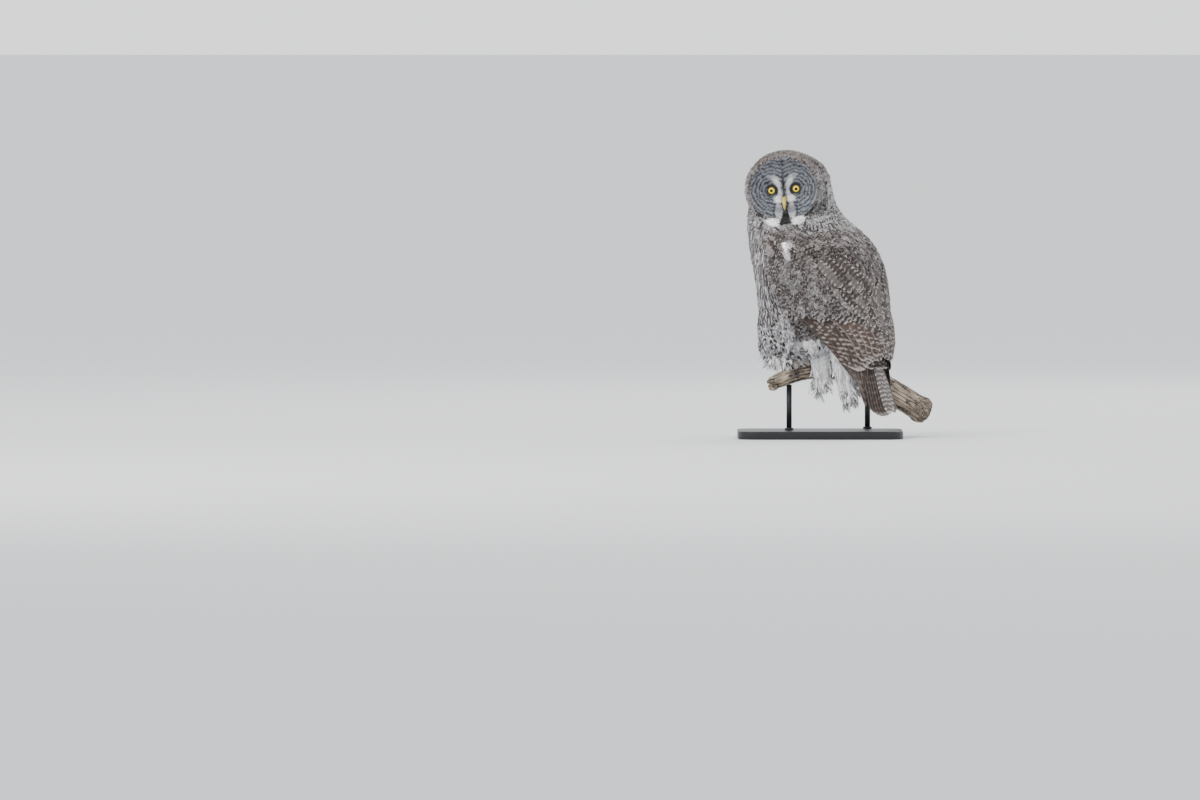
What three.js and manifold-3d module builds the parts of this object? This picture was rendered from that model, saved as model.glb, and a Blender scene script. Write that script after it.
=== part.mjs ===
// A life-size great grey owl, still, perched on a short length of dead branch that a plain
// stand holds up. Millimetres, +Z up, the origin on the floor under the middle of the base.
// The bird is built in its own frame (X forward, Y to its left, Z up) and then turned.

import * as THREE from "three";
import { mergeVertices } from "three/addons/utils/BufferGeometryUtils.js";
import Module from "manifold-3d";

const wasm = await Module();
wasm.setup();

const { cos, sin, abs, max, min, sqrt, sign, PI } = Math;
const RAD = PI / 180;

// Driving dimensions
const GAP = 0.3; // between two pieces that touch
const HEADING = 147; // degrees from +X to where the body faces
const HEAD_TURN = 117.5; // degrees the head is turned to the bird's left
const HEAD_TILT = 4.5; // degrees the face leans over
const HEAD_NOD = 3; // degrees the face looks down

const VANE = 0.6; // thickness of a feather vane
const LAYER = 1.1; // from one vane to the next over it

// Body outline, one row a level: height, centre forward, reach to the front, reach to the
// back, half width, squareness of the back
const BODY = [
  [163, 28, 40, 34, 34, 2],
  [172, 31, 78, 58, 62, 2],
  [189, 31, 98, 80, 80, 2.1],
  [222, 24, 107, 100, 90, 2.2],
  [252, 15, 111, 118, 100, 2.3],
  [288, 20, 104, 140, 115, 2.5],
  [313, 22, 102, 148, 122, 2.6],
  [360, 32, 104, 146, 121, 2.6],
  [386, 38, 104, 136, 118, 2.5],
  [411, 46, 100, 119, 112, 2.3],
  [436, 55, 99, 99, 98, 2.1],
  [461, 64, 88, 88, 87, 2],
  [496, 72, 68, 86, 80, 2],
  [526, 75, 55, 84, 74, 2],
  [550, 77, 40, 69, 58, 2],
  [566, 79, 22, 42, 34, 2],
  [574, 80, 8, 12, 10, 2],
];

// Outer surface of the folded wings: the body's own above, then drawn in towards the tips
const WING = [
  [40, -118, 60, 38, 60, 2.6],
  [66, -114, 60, 45, 62, 2.6],
  [110, -95, 62, 62, 66, 2.6],
  [154, -58, 75, 92, 80, 2.6],
  [191, -25, 90, 130, 98, 2.6],
  [228, 0, 104, 148, 112, 2.6],
  [254, 10, 108, 147, 118, 2.6],
  [288, 18, 104, 149, 121, 2.6],
  [313, 22, 102, 149, 122, 2.6],
  [360, 32, 104, 146, 121, 2.6],
  [398, 42, 102, 126, 115, 2.4],
];

// Edges of the folded wing: height, angle of its front edge, angle of its back edge
const WING_EDGES = [
  [66, 121, 131],
  [88, 118, 133],
  [108, 115, 138],
  [130, 108, 152],
  [146, 104, 166],
  [166, 101, 173],
  [191, 98, 174],
  [218, 95, 172],
  [262, 86, 157],
  [306, 80, 140],
  [352, 76, 122],
  [392, 80, 104],
];

const WING_DEPTH = 21.5; // from the coverts' surface to the wing's inner face
const COVERT_EDGE = 256; // height where the wing's own body ends and bare vanes begin
const PRIMARY_TIPS = [110, 88, 72, 66, 68, 80, 98];

// Head, measured from its centre; the face looks along +X
const HEAD = { at: [71.6, 16, 498], back: 84, side: 81, up: 77, down: 74 };
const DISC = { rim: 47, half: 65, top: 63, bottom: 59, hollow: 7 };
const EYE = { radius: 11.3, out: 33.5, apart: 24, up: 1, lid: 12.9, opening: 7.6, splay: 9 };
const NECK_TOP = { level: 440, lean: 8 };
const NECK_FOOT = { level: 410, lean: 16 };

// How far the body may stand out past the middle of the head, under and behind the face
const FACE_LIMIT = [
  [388, 122],
  [402, 100],
  [416, 80],
  [430, 62],
  [442, 48],
  [454, 15],
  [574, 15],
];

// Tail: a straight back line from root to tip, twelve feathers under it
const TAIL = { rootX: -99, rootZ: 250, tipX: -176, tipZ: 46, swing: 8, camber: 0.0025 };
const RECTRIX = {
  root: 3,
  tips: [7, 14, 21, 27, 33, 38],
  rise: [4, 1, 0, 0, 2, 6],
  width: 31,
  layer: 1.8,
};

// Branch: points along its middle (across the view, height), then its radii at them
const BRANCH_LINE = [
  [-97, 110],
  [-70, 122],
  [-40, 132.5],
  [-10, 138],
  [40, 135],
  [100, 117],
  [157, 82],
  [212, 48],
];
const BRANCH_RADII = [12.5, 16.5, 18.5, 19.5, 21.5, 24, 25.5, 25];
const BRANCH_TURN = 30; // degrees the branch runs away from the view
const BRANCH_AT = [-15, 10]; // a point of the branch seen from above
const FOOT_SPAN = 32; // from that point to each foot, along the branch

// Locks of loose feathers: where each group starts and hangs to
const LOCKS = [
  { top: [-2, 10, 205], tip: [-10, 10, 92], spread: 12, radius: 15, count: 4 },
  { top: [-50, 6, 215], tip: [-76, 10, 66], spread: 13, radius: 15, count: 5 },
];
const FRINGE = { count: 11, tip: 157, radius: 10 };

const BASE = { length: 330, width: 250, height: 16, corner: 40, edge: 2 };
const RODS = { radius: 5.5, at: [-62, 96] };

const COLOURS = {
  plumage: { color: 0x8d867e, roughness: 0.9, metalness: 0 },
  face: { color: 0x8a8b8e, roughness: 0.9, metalness: 0 },
  wing: { color: 0x6d5c4e, roughness: 0.85, metalness: 0 },
  tail: { color: 0x65564b, roughness: 0.85, metalness: 0 },
  bill: { color: 0xd9b13c, roughness: 0.45, metalness: 0 },
  eye: { color: 0xe9c82e, roughness: 0.1, metalness: 0 },
  claw: { color: 0x1d1a19, roughness: 0.4, metalness: 0 },
  foot: { color: 0xa39c93, roughness: 0.9, metalness: 0 },
  branch: { color: 0xa08664, roughness: 0.95, metalness: 0 },
  stand: { color: 0x2a2a2c, roughness: 0.5, metalness: 0.2 },
};

// A smooth value between rows of a table, by its first column
function between(rows, level) {
  const ascending = rows[0][0] < rows[1][0];
  const table = ascending ? rows : [...rows].reverse();
  const last = table.length - 1;
  if (level <= table[0][0]) return table[0];
  if (level >= table[last][0]) return table[last];
  let i = 0;
  while (table[i + 1][0] < level) i++;
  const [a, b] = [table[i], table[i + 1]];
  const before = table[max(i - 1, 0)];
  const after = table[min(i + 2, last)];
  const step = b[0] - a[0];
  const t = (level - a[0]) / step;
  return a.map((value, k) => {
    const rise = (step * (b[k] - before[k])) / (b[0] - before[0]);
    const fall = (step * (after[k] - value)) / (after[0] - a[0]);
    const [t2, t3] = [t * t, t * t * t];
    const start = (2 * t3 - 3 * t2 + 1) * value + (t3 - 2 * t2 + t) * rise;
    return start + (3 * t2 - 2 * t3) * b[k] + (t3 - t2) * fall;
  });
}

// A point of an outline table, by angle from straight ahead and height
function onOutline(rows, angle, level) {
  const [, centre, front, back, half, square] = between(rows, level);
  const [c, s] = [cos(angle * RAD), sin(angle * RAD)];
  const power = c > 0 ? 1 : 2 / square;
  const reach = c > 0 ? front : back;
  return new THREE.Vector3(
    centre + sign(c) * reach * abs(c) ** power,
    sign(s) * half * abs(s) ** power,
    level,
  );
}

// The same point moved out of the surface
function offOutline(rows, angle, level, out) {
  const here = onOutline(rows, angle, level);
  const round = onOutline(rows, angle + 2, level).sub(onOutline(rows, angle - 2, level));
  const rise = onOutline(rows, angle, level + 3).sub(onOutline(rows, angle, level - 3));
  return here.addScaledVector(round.cross(rise).normalize(), out);
}

// Geometry from points and triangles, turned so that its faces point out
function closedBody(points, triangles) {
  let volume = 0;
  for (const [a, b, c] of triangles) {
    volume += points[a].dot(points[b].clone().cross(points[c]));
  }
  const flat = triangles.flatMap(([a, b, c]) => (volume < 0 ? [a, c, b] : [a, b, c]));
  const geometry = new THREE.BufferGeometry().setFromPoints(points);
  return geometry.setIndex(flat);
}

// A closed body through rings of points, each end shut by a fan
function loft(rings) {
  const around = rings[0].length;
  const points = rings.flat();
  const triangles = [];
  for (let i = 0; i + 1 < rings.length; i++) {
    for (let j = 0; j < around; j++) {
      const [a, b] = [i * around + j, i * around + ((j + 1) % around)];
      triangles.push([a, b, a + around], [b, b + around, a + around]);
    }
  }
  for (const [ring, flip] of [
    [0, true],
    [rings.length - 1, false],
  ]) {
    const middle = new THREE.Vector3();
    rings[ring].forEach((p) => middle.addScaledVector(p, 1 / around));
    points.push(middle);
    for (let j = 0; j < around; j++) {
      const [a, b] = [ring * around + j, ring * around + ((j + 1) % around)];
      triangles.push(flip ? [b, a, points.length - 1] : [a, b, points.length - 1]);
    }
  }
  return closedBody(points, triangles);
}

// A closed slab between two grids of points, split into triangles alike on both faces
function slab(upper, lower) {
  const [rows, columns] = [upper.length, upper[0].length];
  const points = [...upper.flat(), ...lower.flat()];
  const under = rows * columns;
  const triangles = [];
  const quad = (a, b, c, d) => triangles.push([a, b, c], [a, c, d]);
  for (let i = 0; i + 1 < rows; i++) {
    for (let j = 0; j + 1 < columns; j++) {
      const a = i * columns + j;
      const [b, c, d] = [a + 1, a + columns + 1, a + columns];
      quad(a, b, c, d);
      triangles.push([under + a, under + c, under + b], [under + a, under + d, under + c]);
    }
  }
  const rim = [];
  for (let j = 0; j < columns; j++) rim.push(j);
  for (let i = 1; i < rows; i++) rim.push(i * columns + columns - 1);
  for (let j = columns - 2; j >= 0; j--) rim.push((rows - 1) * columns + j);
  for (let i = rows - 2; i > 0; i--) rim.push(i * columns);
  rim.forEach((a, k) => {
    const b = rim[(k + 1) % rim.length];
    quad(b, a, under + a, under + b);
  });
  return closedBody(points, triangles);
}

// Solid and mesh, back and forth
function solid(geometry) {
  const bare = geometry.index ? geometry.clone() : geometry;
  bare.deleteAttribute("normal");
  bare.deleteAttribute("uv");
  const merged = mergeVertices(bare, 1e-4);
  return new wasm.Manifold(
    new wasm.Mesh({
      numProp: 3,
      vertProperties: new Float32Array(merged.attributes.position.array),
      triVerts: new Uint32Array(merged.index.array),
    }),
  );
}

function join(solids) {
  return wasm.Manifold.union(solids);
}

function largest(body) {
  const pieces = body.decompose();
  return pieces.reduce((best, piece) => (piece.volume() > best.volume() ? piece : best));
}

function mesh(name, body, finish) {
  const kept = largest(body);
  const { vertProperties, triVerts, numProp } = kept.getMesh();
  const positions = new Float32Array((vertProperties.length / numProp) * 3);
  for (let i = 0; i < positions.length; i++) {
    positions[i] = vertProperties[Math.floor(i / 3) * numProp + (i % 3)];
  }
  const geometry = new THREE.BufferGeometry();
  geometry.setAttribute("position", new THREE.BufferAttribute(positions, 3));
  geometry.setIndex(new THREE.BufferAttribute(new Uint32Array(triVerts), 1));
  const made = new THREE.Mesh(geometry, new THREE.MeshStandardMaterial(COLOURS[finish]));
  made.name = name;
  return made;
}

function moved(geometry, matrix) {
  return geometry.clone().applyMatrix4(matrix);
}

function ball(centre, radii, segments = 16) {
  const round = new THREE.SphereGeometry(1, segments, Math.round(segments * 0.7));
  const place = new THREE.Matrix4().makeTranslation(...centre);
  return moved(round, place.multiply(new THREE.Matrix4().makeScale(...radii)));
}

// Body and neck in one, as wide as the plumage
const facing = new THREE.Vector3(cos(HEAD_TURN * RAD), sin(HEAD_TURN * RAD), 0);

function behindFace(p) {
  const past = p.dot(facing) - facing.dot(new THREE.Vector3(...HEAD.at));
  const limit = between(FACE_LIMIT, p.z)[1];
  const room = 10;
  if (past < limit - room) return p;
  const kept = limit - room * Math.exp((limit - room - past) / room);
  return p.addScaledVector(facing, min(0, kept - past));
}

function bodyGeometry(grow = 0) {
  const levels = [
    163, 167, 173, 182, 196, 214, 234, 256, 280, 306, 334, 362, 386, 406, 424, 440, 456,
    476, 500, 524, 545, 560, 570, 574,
  ];
  const around = 26;
  return loft(
    levels.map((level) =>
      Array.from({ length: around }, (_, j) =>
        behindFace(offOutline(BODY, (360 * j) / around, level, grow)),
      ),
    ),
  );
}

// Head in its own frame: rings round the axis of the face
function faceDepth(y, z) {
  const across = abs(y);
  const share = (y * y + z * z) / (DISC.half * DISC.half);
  const hollow = DISC.hollow * max(0, 1 - share);
  const crest = 9 * Math.exp(-((y / 9) ** 2)) * Math.exp(-(((z - 12) / 34) ** 2));
  const brow = 3.5 * Math.exp(-(((across - 14) / 8) ** 2) - ((z - 14) / 12) ** 2);
  const socket = 3 * Math.exp(-(((across - 25) / 11) ** 2) - ((z - 1) / 11) ** 2);
  const lobe = 5 * Math.exp(-(((across - 13) / 8) ** 2) - ((z + 36) / 15) ** 2);
  return DISC.rim - hollow + crest + brow - socket + lobe;
}

function discRadius(angle) {
  const [c, s] = [cos(angle), sin(angle)];
  const tall = s > 0 ? DISC.top : DISC.bottom;
  const round = 1 / sqrt((c / DISC.half) ** 2 + (s / tall) ** 2);
  const notch = 0.06 * Math.exp(-(((angle / RAD - 90) / 9) ** 2));
  return round * (1 - notch);
}

function headGeometry() {
  const around = 30;
  const rings = [];
  for (const share of [0.14, 0.28, 0.42, 0.56, 0.72, 0.87, 0.96]) {
    rings.push(
      Array.from({ length: around }, (_, j) => {
        const angle = (2 * PI * j) / around;
        const reach = discRadius(angle) * share;
        const [y, z] = [reach * cos(angle), reach * sin(angle)];
        return new THREE.Vector3(faceDepth(y, z), y, z);
      }),
    );
  }
  const ruff = [
    [1.0, DISC.rim + 2.5],
    [1.06, DISC.rim + 3],
    [1.13, DISC.rim - 1.5],
  ];
  for (const [share, depth] of ruff) {
    rings.push(
      Array.from({ length: around }, (_, j) => {
        const angle = (2 * PI * j) / around;
        const reach = discRadius(angle) * share;
        return new THREE.Vector3(depth, reach * cos(angle), reach * sin(angle));
      }),
    );
  }
  const turns = [66, 84, 102, 120, 138, 156, 170];
  for (const turn of turns) {
    rings.push(
      Array.from({ length: around }, (_, j) => {
        const angle = (2 * PI * j) / around;
        const [c, s] = [cos(angle), sin(angle)];
        const tall = s > 0 ? HEAD.up : HEAD.down;
        const wide = sin(turn * RAD);
        return new THREE.Vector3(
          HEAD.back * cos(turn * RAD),
          HEAD.side * c * wide,
          tall * s * wide,
        );
      }),
    );
  }
  return loft(rings);
}

const headPlace = new THREE.Matrix4()
  .makeTranslation(...HEAD.at)
  .multiply(new THREE.Matrix4().makeRotationZ(HEAD_TURN * RAD))
  .multiply(new THREE.Matrix4().makeRotationX(HEAD_TILT * RAD))
  .multiply(new THREE.Matrix4().makeRotationY(HEAD_NOD * RAD));

function eyeFrame(side) {
  return new THREE.Matrix4()
    .makeTranslation(EYE.out, side * EYE.apart, EYE.up)
    .multiply(new THREE.Matrix4().makeRotationZ(side * EYE.splay * RAD));
}

function eyeBall(side, radius, segments) {
  const round = new THREE.SphereGeometry(radius, segments, Math.round(segments * 0.7));
  round.rotateZ(-PI / 2);
  return moved(round, eyeFrame(side));
}

function eyeOpening(side) {
  const hole = new THREE.CylinderGeometry(EYE.opening * 1.25, EYE.opening * 0.8, 16, 14);
  hole.rotateZ(-PI / 2).translate(10, 0, -0.6).scale(1, 1, 0.94);
  return moved(hole, eyeFrame(side));
}

// Upper bill: a hook of oval rings; grow makes the room that it sits in
function billGeometry(grow = 0) {
  const line = new THREE.CatmullRomCurve3(
    [
      [38, -17],
      [49, -18],
      [57, -22],
      [60.5, -30],
      [59.5, -38],
      [56.5, -44.5],
    ].map(([x, z]) => new THREE.Vector3(x, 0, z)),
  );
  const radii = [
    [5.6, 5.6],
    [5.7, 5.8],
    [5.3, 5.6],
    [4.2, 4.4],
    [2.7, 2.8],
    [0.5, 0.6],
  ];
  return sweep(line, radii, 8, 10, grow);
}

function lowerBillGeometry(grow = 0) {
  const line = new THREE.CatmullRomCurve3(
    [
      [38, -27],
      [47, -29.5],
      [53, -34],
      [54, -39.5],
    ].map(([x, z]) => new THREE.Vector3(x, 0, z)),
  );
  const radii = [
    [5.2, 3.4],
    [5, 3.4],
    [3.8, 2.8],
    [1, 1],
  ];
  return sweep(line, radii, 4, 8, grow);
}

// Oval rings along a curve that stays in the plane of X and Z
function sweep(line, radii, steps, around, grow) {
  const rings = [];
  for (let i = 0; i <= steps; i++) {
    const t = i / steps;
    const here = line.getPoint(t);
    const ahead = line.getTangent(t);
    const up = new THREE.Vector3(-ahead.z, 0, ahead.x);
    const place = t * (radii.length - 1);
    const k = min(Math.floor(place), radii.length - 2);
    const mix = (n) => radii[k][n] + (radii[k + 1][n] - radii[k][n]) * (place - k) + grow;
    const [wide, tall] = [mix(0), mix(1)];
    rings.push(
      Array.from({ length: around }, (_, j) => {
        const angle = (2 * PI * j) / around;
        return here
          .clone()
          .addScaledVector(up, tall * sin(angle))
          .add(new THREE.Vector3(0, wide * cos(angle), 0));
      }),
    );
  }
  return loft(rings);
}

// Wing: a point of its surface for the left side, mirrored for the right
function wingPoint(side, angle, level, out) {
  const p = offOutline(WING, angle, level, out);
  return new THREE.Vector3(p.x, side * p.y, p.z);
}

// Angle at a height and at a share of the way from the wing's front edge to its back edge
function wingAngle(level, share) {
  const [, front, back] = between(WING_EDGES, level);
  return front + (back - front) * share;
}

// Slab of a folded wing down to a height; grow makes the room that it takes
function wingSlab(side, lowest, inner, outer, grow = 0) {
  const top = WING_EDGES[WING_EDGES.length - 1][0];
  const rows = Math.round((top - lowest) / 22);
  const columns = 8;
  const grid = (out) =>
    Array.from({ length: rows + 1 }, (_, i) => {
      const level = top + ((lowest - top) * i) / rows;
      const shift = i === 0 ? grow : i === rows ? -grow : 0;
      return Array.from({ length: columns }, (_, j) => {
        const share = j / (columns - 1);
        const angle = wingAngle(level, share) + grow * (share * 2 - 1);
        return wingPoint(side, angle, level + shift, out(level, share));
      });
    });
  return solid(slab(grid(outer), grid(inner)));
}

// Inner face of a folded wing: only the shorter feathers reach its back edge
function wingInner(level, share) {
  const primariesEnd = 0.36 + 0.0035 * max(0, 286 - level);
  const past = min(1, max(0, (share - primariesEnd) / 0.1));
  return -WING_DEPTH + (level < COVERT_EDGE ? 7 * past : 0);
}

// Share of a vane's width at a share of its length
function vaneTaper(t) {
  const root = 0.8 + 0.2 * min(1, t / 0.4);
  const tip = 1 - 0.84 * max(0, (t - 0.6) / 0.4) ** 2.6;
  return root * tip;
}

// One feather of the wing, along a line of heights and shares, in its own layer
function wingVane(side, vane) {
  const { from, to, width, height, stations } = vane;
  const centre = (t) => {
    const level = from[0] + (to[0] - from[0]) * t;
    return [wingAngle(level, from[1] + (to[1] - from[1]) * t), level];
  };
  const grid = (out) =>
    stations.map((t, i) => {
      const [angle, level] = centre(t);
      const [angleOn, levelOn] = centre(t + 0.02);
      const step = onOutline(WING, angle + 1, level).distanceTo(onOutline(WING, angle, level));
      const along = new THREE.Vector2((angleOn - angle) * step, levelOn - level).normalize();
      return [-1, 0, 1].map((edge) => {
        const reach = (edge * vaneTaper(t) * width) / 2;
        const sweep = edge === 0 && i === stations.length - 1 ? 2 : 0;
        return wingPoint(
          side,
          angle - (along.y * reach) / step,
          level + along.x * reach - sweep,
          out + height,
        );
      });
    });
  return solid(slab(grid(VANE / 2), grid(-VANE / 2)));
}

const spreadOver = (count, make) => Array.from({ length: count }, (_, i) => make(i / (count - 1), i));

function wingFeathers(side) {
  const tips = side > 0 ? PRIMARY_TIPS : PRIMARY_TIPS.map((tip) => tip + 14);
  const primaries = spreadOver(tips.length, (u, i) => ({
    from: [286, 0.13 + 0.1 * u],
    to: [tips[i], 0.15 + 0.72 * u],
    width: 17,
    height: -20.8 + LAYER * i,
    stations: [0, 0.13, 0.26, 0.4, 0.56, 0.74, 0.91, 1],
  }));
  const secondaries = spreadOver(9, (u, i) => ({
    from: [282, 0.22 + 0.64 * u],
    to: [146 - 10 * sin(PI * min(1, u * 1.3)) + 26 * max(0, u - 0.6), 0.2 + 0.74 * u],
    width: 27,
    height: -13 + LAYER * i,
    stations: [0, 0.25, 0.5, 0.75, 0.92, 1],
  }));
  const coverts = spreadOver(7, (u, i) => ({
    from: [278, 0.14 + 0.72 * u],
    to: [228 - 8 * u, 0.13 + 0.8 * u],
    width: 29,
    height: -3 + (i % 2) * LAYER,
    stations: [0, 0.5, 0.85, 1],
  }));
  return [...primaries, ...secondaries, ...coverts].map((vane) => wingVane(side, vane));
}

function wingSolid(side) {
  const body = wingSlab(side, COVERT_EDGE, wingInner, () => 0);
  return join([body, ...wingFeathers(side)]);
}

// The room that a folded wing takes: close round its body, wide round its bare feathers
function wingRoom(side) {
  const inner = (level, share) => wingInner(level, share) - GAP;
  const close = wingSlab(side, COVERT_EDGE, inner, () => 9, GAP);
  const wide = wingSlab(side, WING_EDGES[0][0], inner, () => 9, 6);
  return close.add(wide.trimByPlane([0, 0, -1], -COVERT_EDGE - 4));
}

// Tail: a root that tapers down from the rump, and twelve feathers in layers under its back
function tailLine(level) {
  const t = (TAIL.rootZ - level) / (TAIL.rootZ - TAIL.tipZ);
  return [TAIL.rootX + (TAIL.tipX - TAIL.rootX) * t, TAIL.swing * t * t];
}

function tailPoint(level, side, under) {
  const [x, y] = tailLine(level);
  return new THREE.Vector3(x + TAIL.camber * side * side + under, y + side, level);
}

function tailRoot() {
  const rows = [
    [262, 38, 34],
    [225, 35, 26],
    [195, 32, 18],
    [165, 28, 13],
  ];
  const grid = (under) =>
    rows.map(([level, wide, thick]) =>
      spreadOver(7, (u) => tailPoint(level, wide * (2 * u - 1), under * thick)),
    );
  return solid(slab(grid(0), grid(1)));
}

// The room below the body that the whole tail takes
function tailRoomGeometry() {
  const rows = [
    [206, 44, 24],
    [160, 46, 17],
    [110, 54, 15],
    [70, 58, 15],
    [30, 60, 15],
  ];
  const grid = (under) =>
    rows.map(([level, wide, thick]) =>
      spreadOver(7, (u) => tailPoint(level, wide * (2 * u - 1), under ? thick : -12)),
    );
  return slab(grid(false), grid(true));
}

function rectrix(side, i) {
  const offset = [RECTRIX.root * (i + 1), RECTRIX.tips[i]];
  const bottom = TAIL.tipZ + RECTRIX.rise[i] + (side < 0 ? 6 : 0);
  const under = 0.6 + RECTRIX.layer * (i + (side > 0 ? 0 : 0.5));
  const stations = [0, 0.4, 0.75, 0.93, 1];
  const taper = [0.5, 0.85, 1, 0.8, 0.3];
  const grid = (depth) =>
    stations.map((t, k) => {
      const level = 205 + (bottom - 205) * t;
      const middle = side * (offset[0] + (offset[1] - offset[0]) * t);
      return [-1, 0, 1].map((edge) =>
        tailPoint(level, middle + (edge * taper[k] * RECTRIX.width) / 2, under + depth),
      );
    });
  return solid(slab(grid(0), grid(VANE)));
}

function tailSolid() {
  const feathers = [1, -1].flatMap((side) => RECTRIX.tips.map((_, i) => rectrix(side, i)));
  return join([tailRoot(), ...feathers]);
}

// Branch, in the room's frame
const branchTurn = new THREE.Vector2(cos(BRANCH_TURN * RAD), sin(BRANCH_TURN * RAD));
const branchCurve = new THREE.CatmullRomCurve3(
  BRANCH_LINE.map(([x, z]) => {
    const y = BRANCH_AT[1] + ((x - BRANCH_AT[0]) * branchTurn.y) / branchTurn.x;
    return new THREE.Vector3(x, y, z);
  }),
  false,
  "chordal",
);

function branchFrame(t) {
  const ahead = branchCurve.getTangent(t);
  const side = new THREE.Vector3(-branchTurn.y, branchTurn.x, 0);
  const up = side.clone().cross(ahead).negate().normalize();
  return { at: branchCurve.getPoint(t), ahead, side, up };
}

function branchRadius(t) {
  const place = t * (BRANCH_RADII.length - 1);
  const k = min(Math.floor(place), BRANCH_RADII.length - 2);
  return BRANCH_RADII[k] + (BRANCH_RADII[k + 1] - BRANCH_RADII[k]) * (place - k);
}

// Share of the branch's length at a place across the view
function branchShare(x) {
  let [low, high] = [0, 1];
  for (let i = 0; i < 30; i++) {
    const middle = (low + high) / 2;
    if (branchCurve.getPoint(middle).x < x) low = middle;
    else high = middle;
  }
  return low;
}

function branchGeometry(grow = 0) {
  const [steps, around] = [22, 14];
  const rings = [];
  for (let i = 0; i <= steps; i++) {
    const t = i / steps;
    const { at, ahead, side, up } = branchFrame(t);
    const rough = abs(t - 0.3) < 0.14 ? 0.25 : 1;
    rings.push(
      Array.from({ length: around }, (_, j) => {
        const angle = (2 * PI * j) / around;
        const ripple = sin(3 * angle + 9 * t) * 0.028 + sin(5 * angle - 23 * t) * 0.018;
        const knot = 0.16 * Math.exp(-(((t - 0.72) / 0.035) ** 2)) * max(0, cos(angle - 5.2)) ** 3;
        const radius = branchRadius(t) * (1 + rough * ripple + knot) + grow;
        const splinter = i === 0 ? 9 * sin(angle * 2 + 0.6) + 5 * sin(angle * 5) : 0;
        const end = i === 0 ? 0.72 : 1;
        return at
          .clone()
          .addScaledVector(up, radius * end * sin(angle))
          .addScaledVector(side, radius * end * cos(angle))
          .addScaledVector(ahead, splinter - (i === 0 ? grow : i === steps ? -grow : 0));
      }),
    );
  }
  return loft(rings);
}

// From the room's frame to the bird's
const birdTurn = new THREE.Matrix4().makeRotationZ(HEADING * RAD);
const toBird = birdTurn.clone().invert();

// A foot grips the branch: two toes forward, two back, claws beyond them
function footFrame(side) {
  const x = BRANCH_AT[0] - side * FOOT_SPAN * branchTurn.x;
  const t = branchShare(x);
  return { ...branchFrame(t), radius: branchRadius(t) };
}

const TOES = [
  { along: -6, spread: -9, way: 1 },
  { along: 6, spread: 8, way: 1 },
  { along: 7, spread: 11, way: -1 },
  { along: -6, spread: -10, way: -1 },
];
const TOE = { root: 7.6, end: 5.2, from: 6, to: 62, claw: 48, clawRoot: 2.9, clawEnd: 0.45 };

function toeLine(frame, toe, from, to, clear, steps) {
  return Array.from({ length: steps + 1 }, (_, i) => {
    const turn = from + ((to - from) * i) / steps;
    const out = frame.radius + clear(i / steps);
    const spread = toe.along + toe.spread * sin(min(turn, 90) * RAD);
    return frame.at
      .clone()
      .addScaledVector(frame.up, out * cos(turn * RAD))
      .addScaledVector(frame.side, toe.way * out * sin(turn * RAD))
      .addScaledVector(frame.ahead, spread);
  });
}

function tube(points, radii, around) {
  const line = new THREE.CatmullRomCurve3(points);
  const first = line.getTangent(0);
  let normal = new THREE.Vector3(first.y, first.z, -first.x).cross(first).normalize();
  const rings = points.map((p, i) => {
    const ahead = line.getTangent(i / (points.length - 1));
    normal = normal.clone().addScaledVector(ahead, -normal.dot(ahead)).normalize();
    const across = ahead.clone().cross(normal);
    return Array.from({ length: around }, (_, j) => {
      const angle = (2 * PI * j) / around;
      return p
        .clone()
        .addScaledVector(normal, radii[i] * cos(angle))
        .addScaledVector(across, radii[i] * sin(angle));
    });
  });
  return loft(rings);
}

function toeGeometry(frame, toe, grow) {
  const thick = (share) => TOE.root + (TOE.end - TOE.root) * share;
  const points = toeLine(frame, toe, TOE.from, TOE.to, (s) => thick(s) - 0.8, 4);
  const radii = points.map((_, i) => thick(i / 4) * (i === 4 ? 0.7 : 1) + grow);
  return tube(points, radii, 7);
}

function clawGeometry(frame, toe, grow = 0) {
  const reach = (share) => TOE.end - 1.4 - 1.9 * share + 1.8 * sin(share * PI);
  const points = toeLine(frame, toe, TOE.to - 6, TOE.to + TOE.claw, reach, 5);
  const radii = points.map((_, i) => {
    return TOE.clawRoot + ((TOE.clawEnd - TOE.clawRoot) * i) / 5 + grow;
  });
  return tube(points, radii, 7);
}

const branchBody = solid(branchGeometry());
const branchRoom = solid(moved(branchGeometry(GAP), toBird));

function footSolid(side, grow = 0) {
  const frame = footFrame(side);
  const middle = frame.at.clone().addScaledVector(frame.up, frame.radius + 6);
  const pad = ball(middle.toArray(), [15 + grow, 13 + grow, 9.5 + grow], 9);
  const toes = TOES.map((toe) => toeGeometry(frame, toe, grow));
  const parts = [pad, ...toes].map((g) => solid(moved(g, toBird)));
  return join(parts);
}

// Feathered leg: a short column from inside the belly to the foot
function legGeometry(side, grow = 0) {
  const frame = footFrame(side);
  const foot = frame.at.clone().addScaledVector(frame.up, frame.radius + 9).applyMatrix4(toBird);
  const top = new THREE.Vector3(26, side * 40, 206);
  const rows = [
    [0, 11],
    [0.2, 15],
    [0.45, 20],
    [0.75, 25],
    [1, 27],
  ];
  return loft(
    rows.map(([share, radius], i) => {
      const at = foot.clone().lerp(top, share);
      if (i === 0) at.z -= grow;
      if (i === rows.length - 1) at.z += grow;
      return Array.from({ length: 18 }, (_, j) => {
        const angle = (2 * PI * j) / 18;
        const out = radius + grow;
        return at.clone().add(new THREE.Vector3(out * cos(angle), out * sin(angle), 0));
      });
    }),
  );
}

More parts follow.
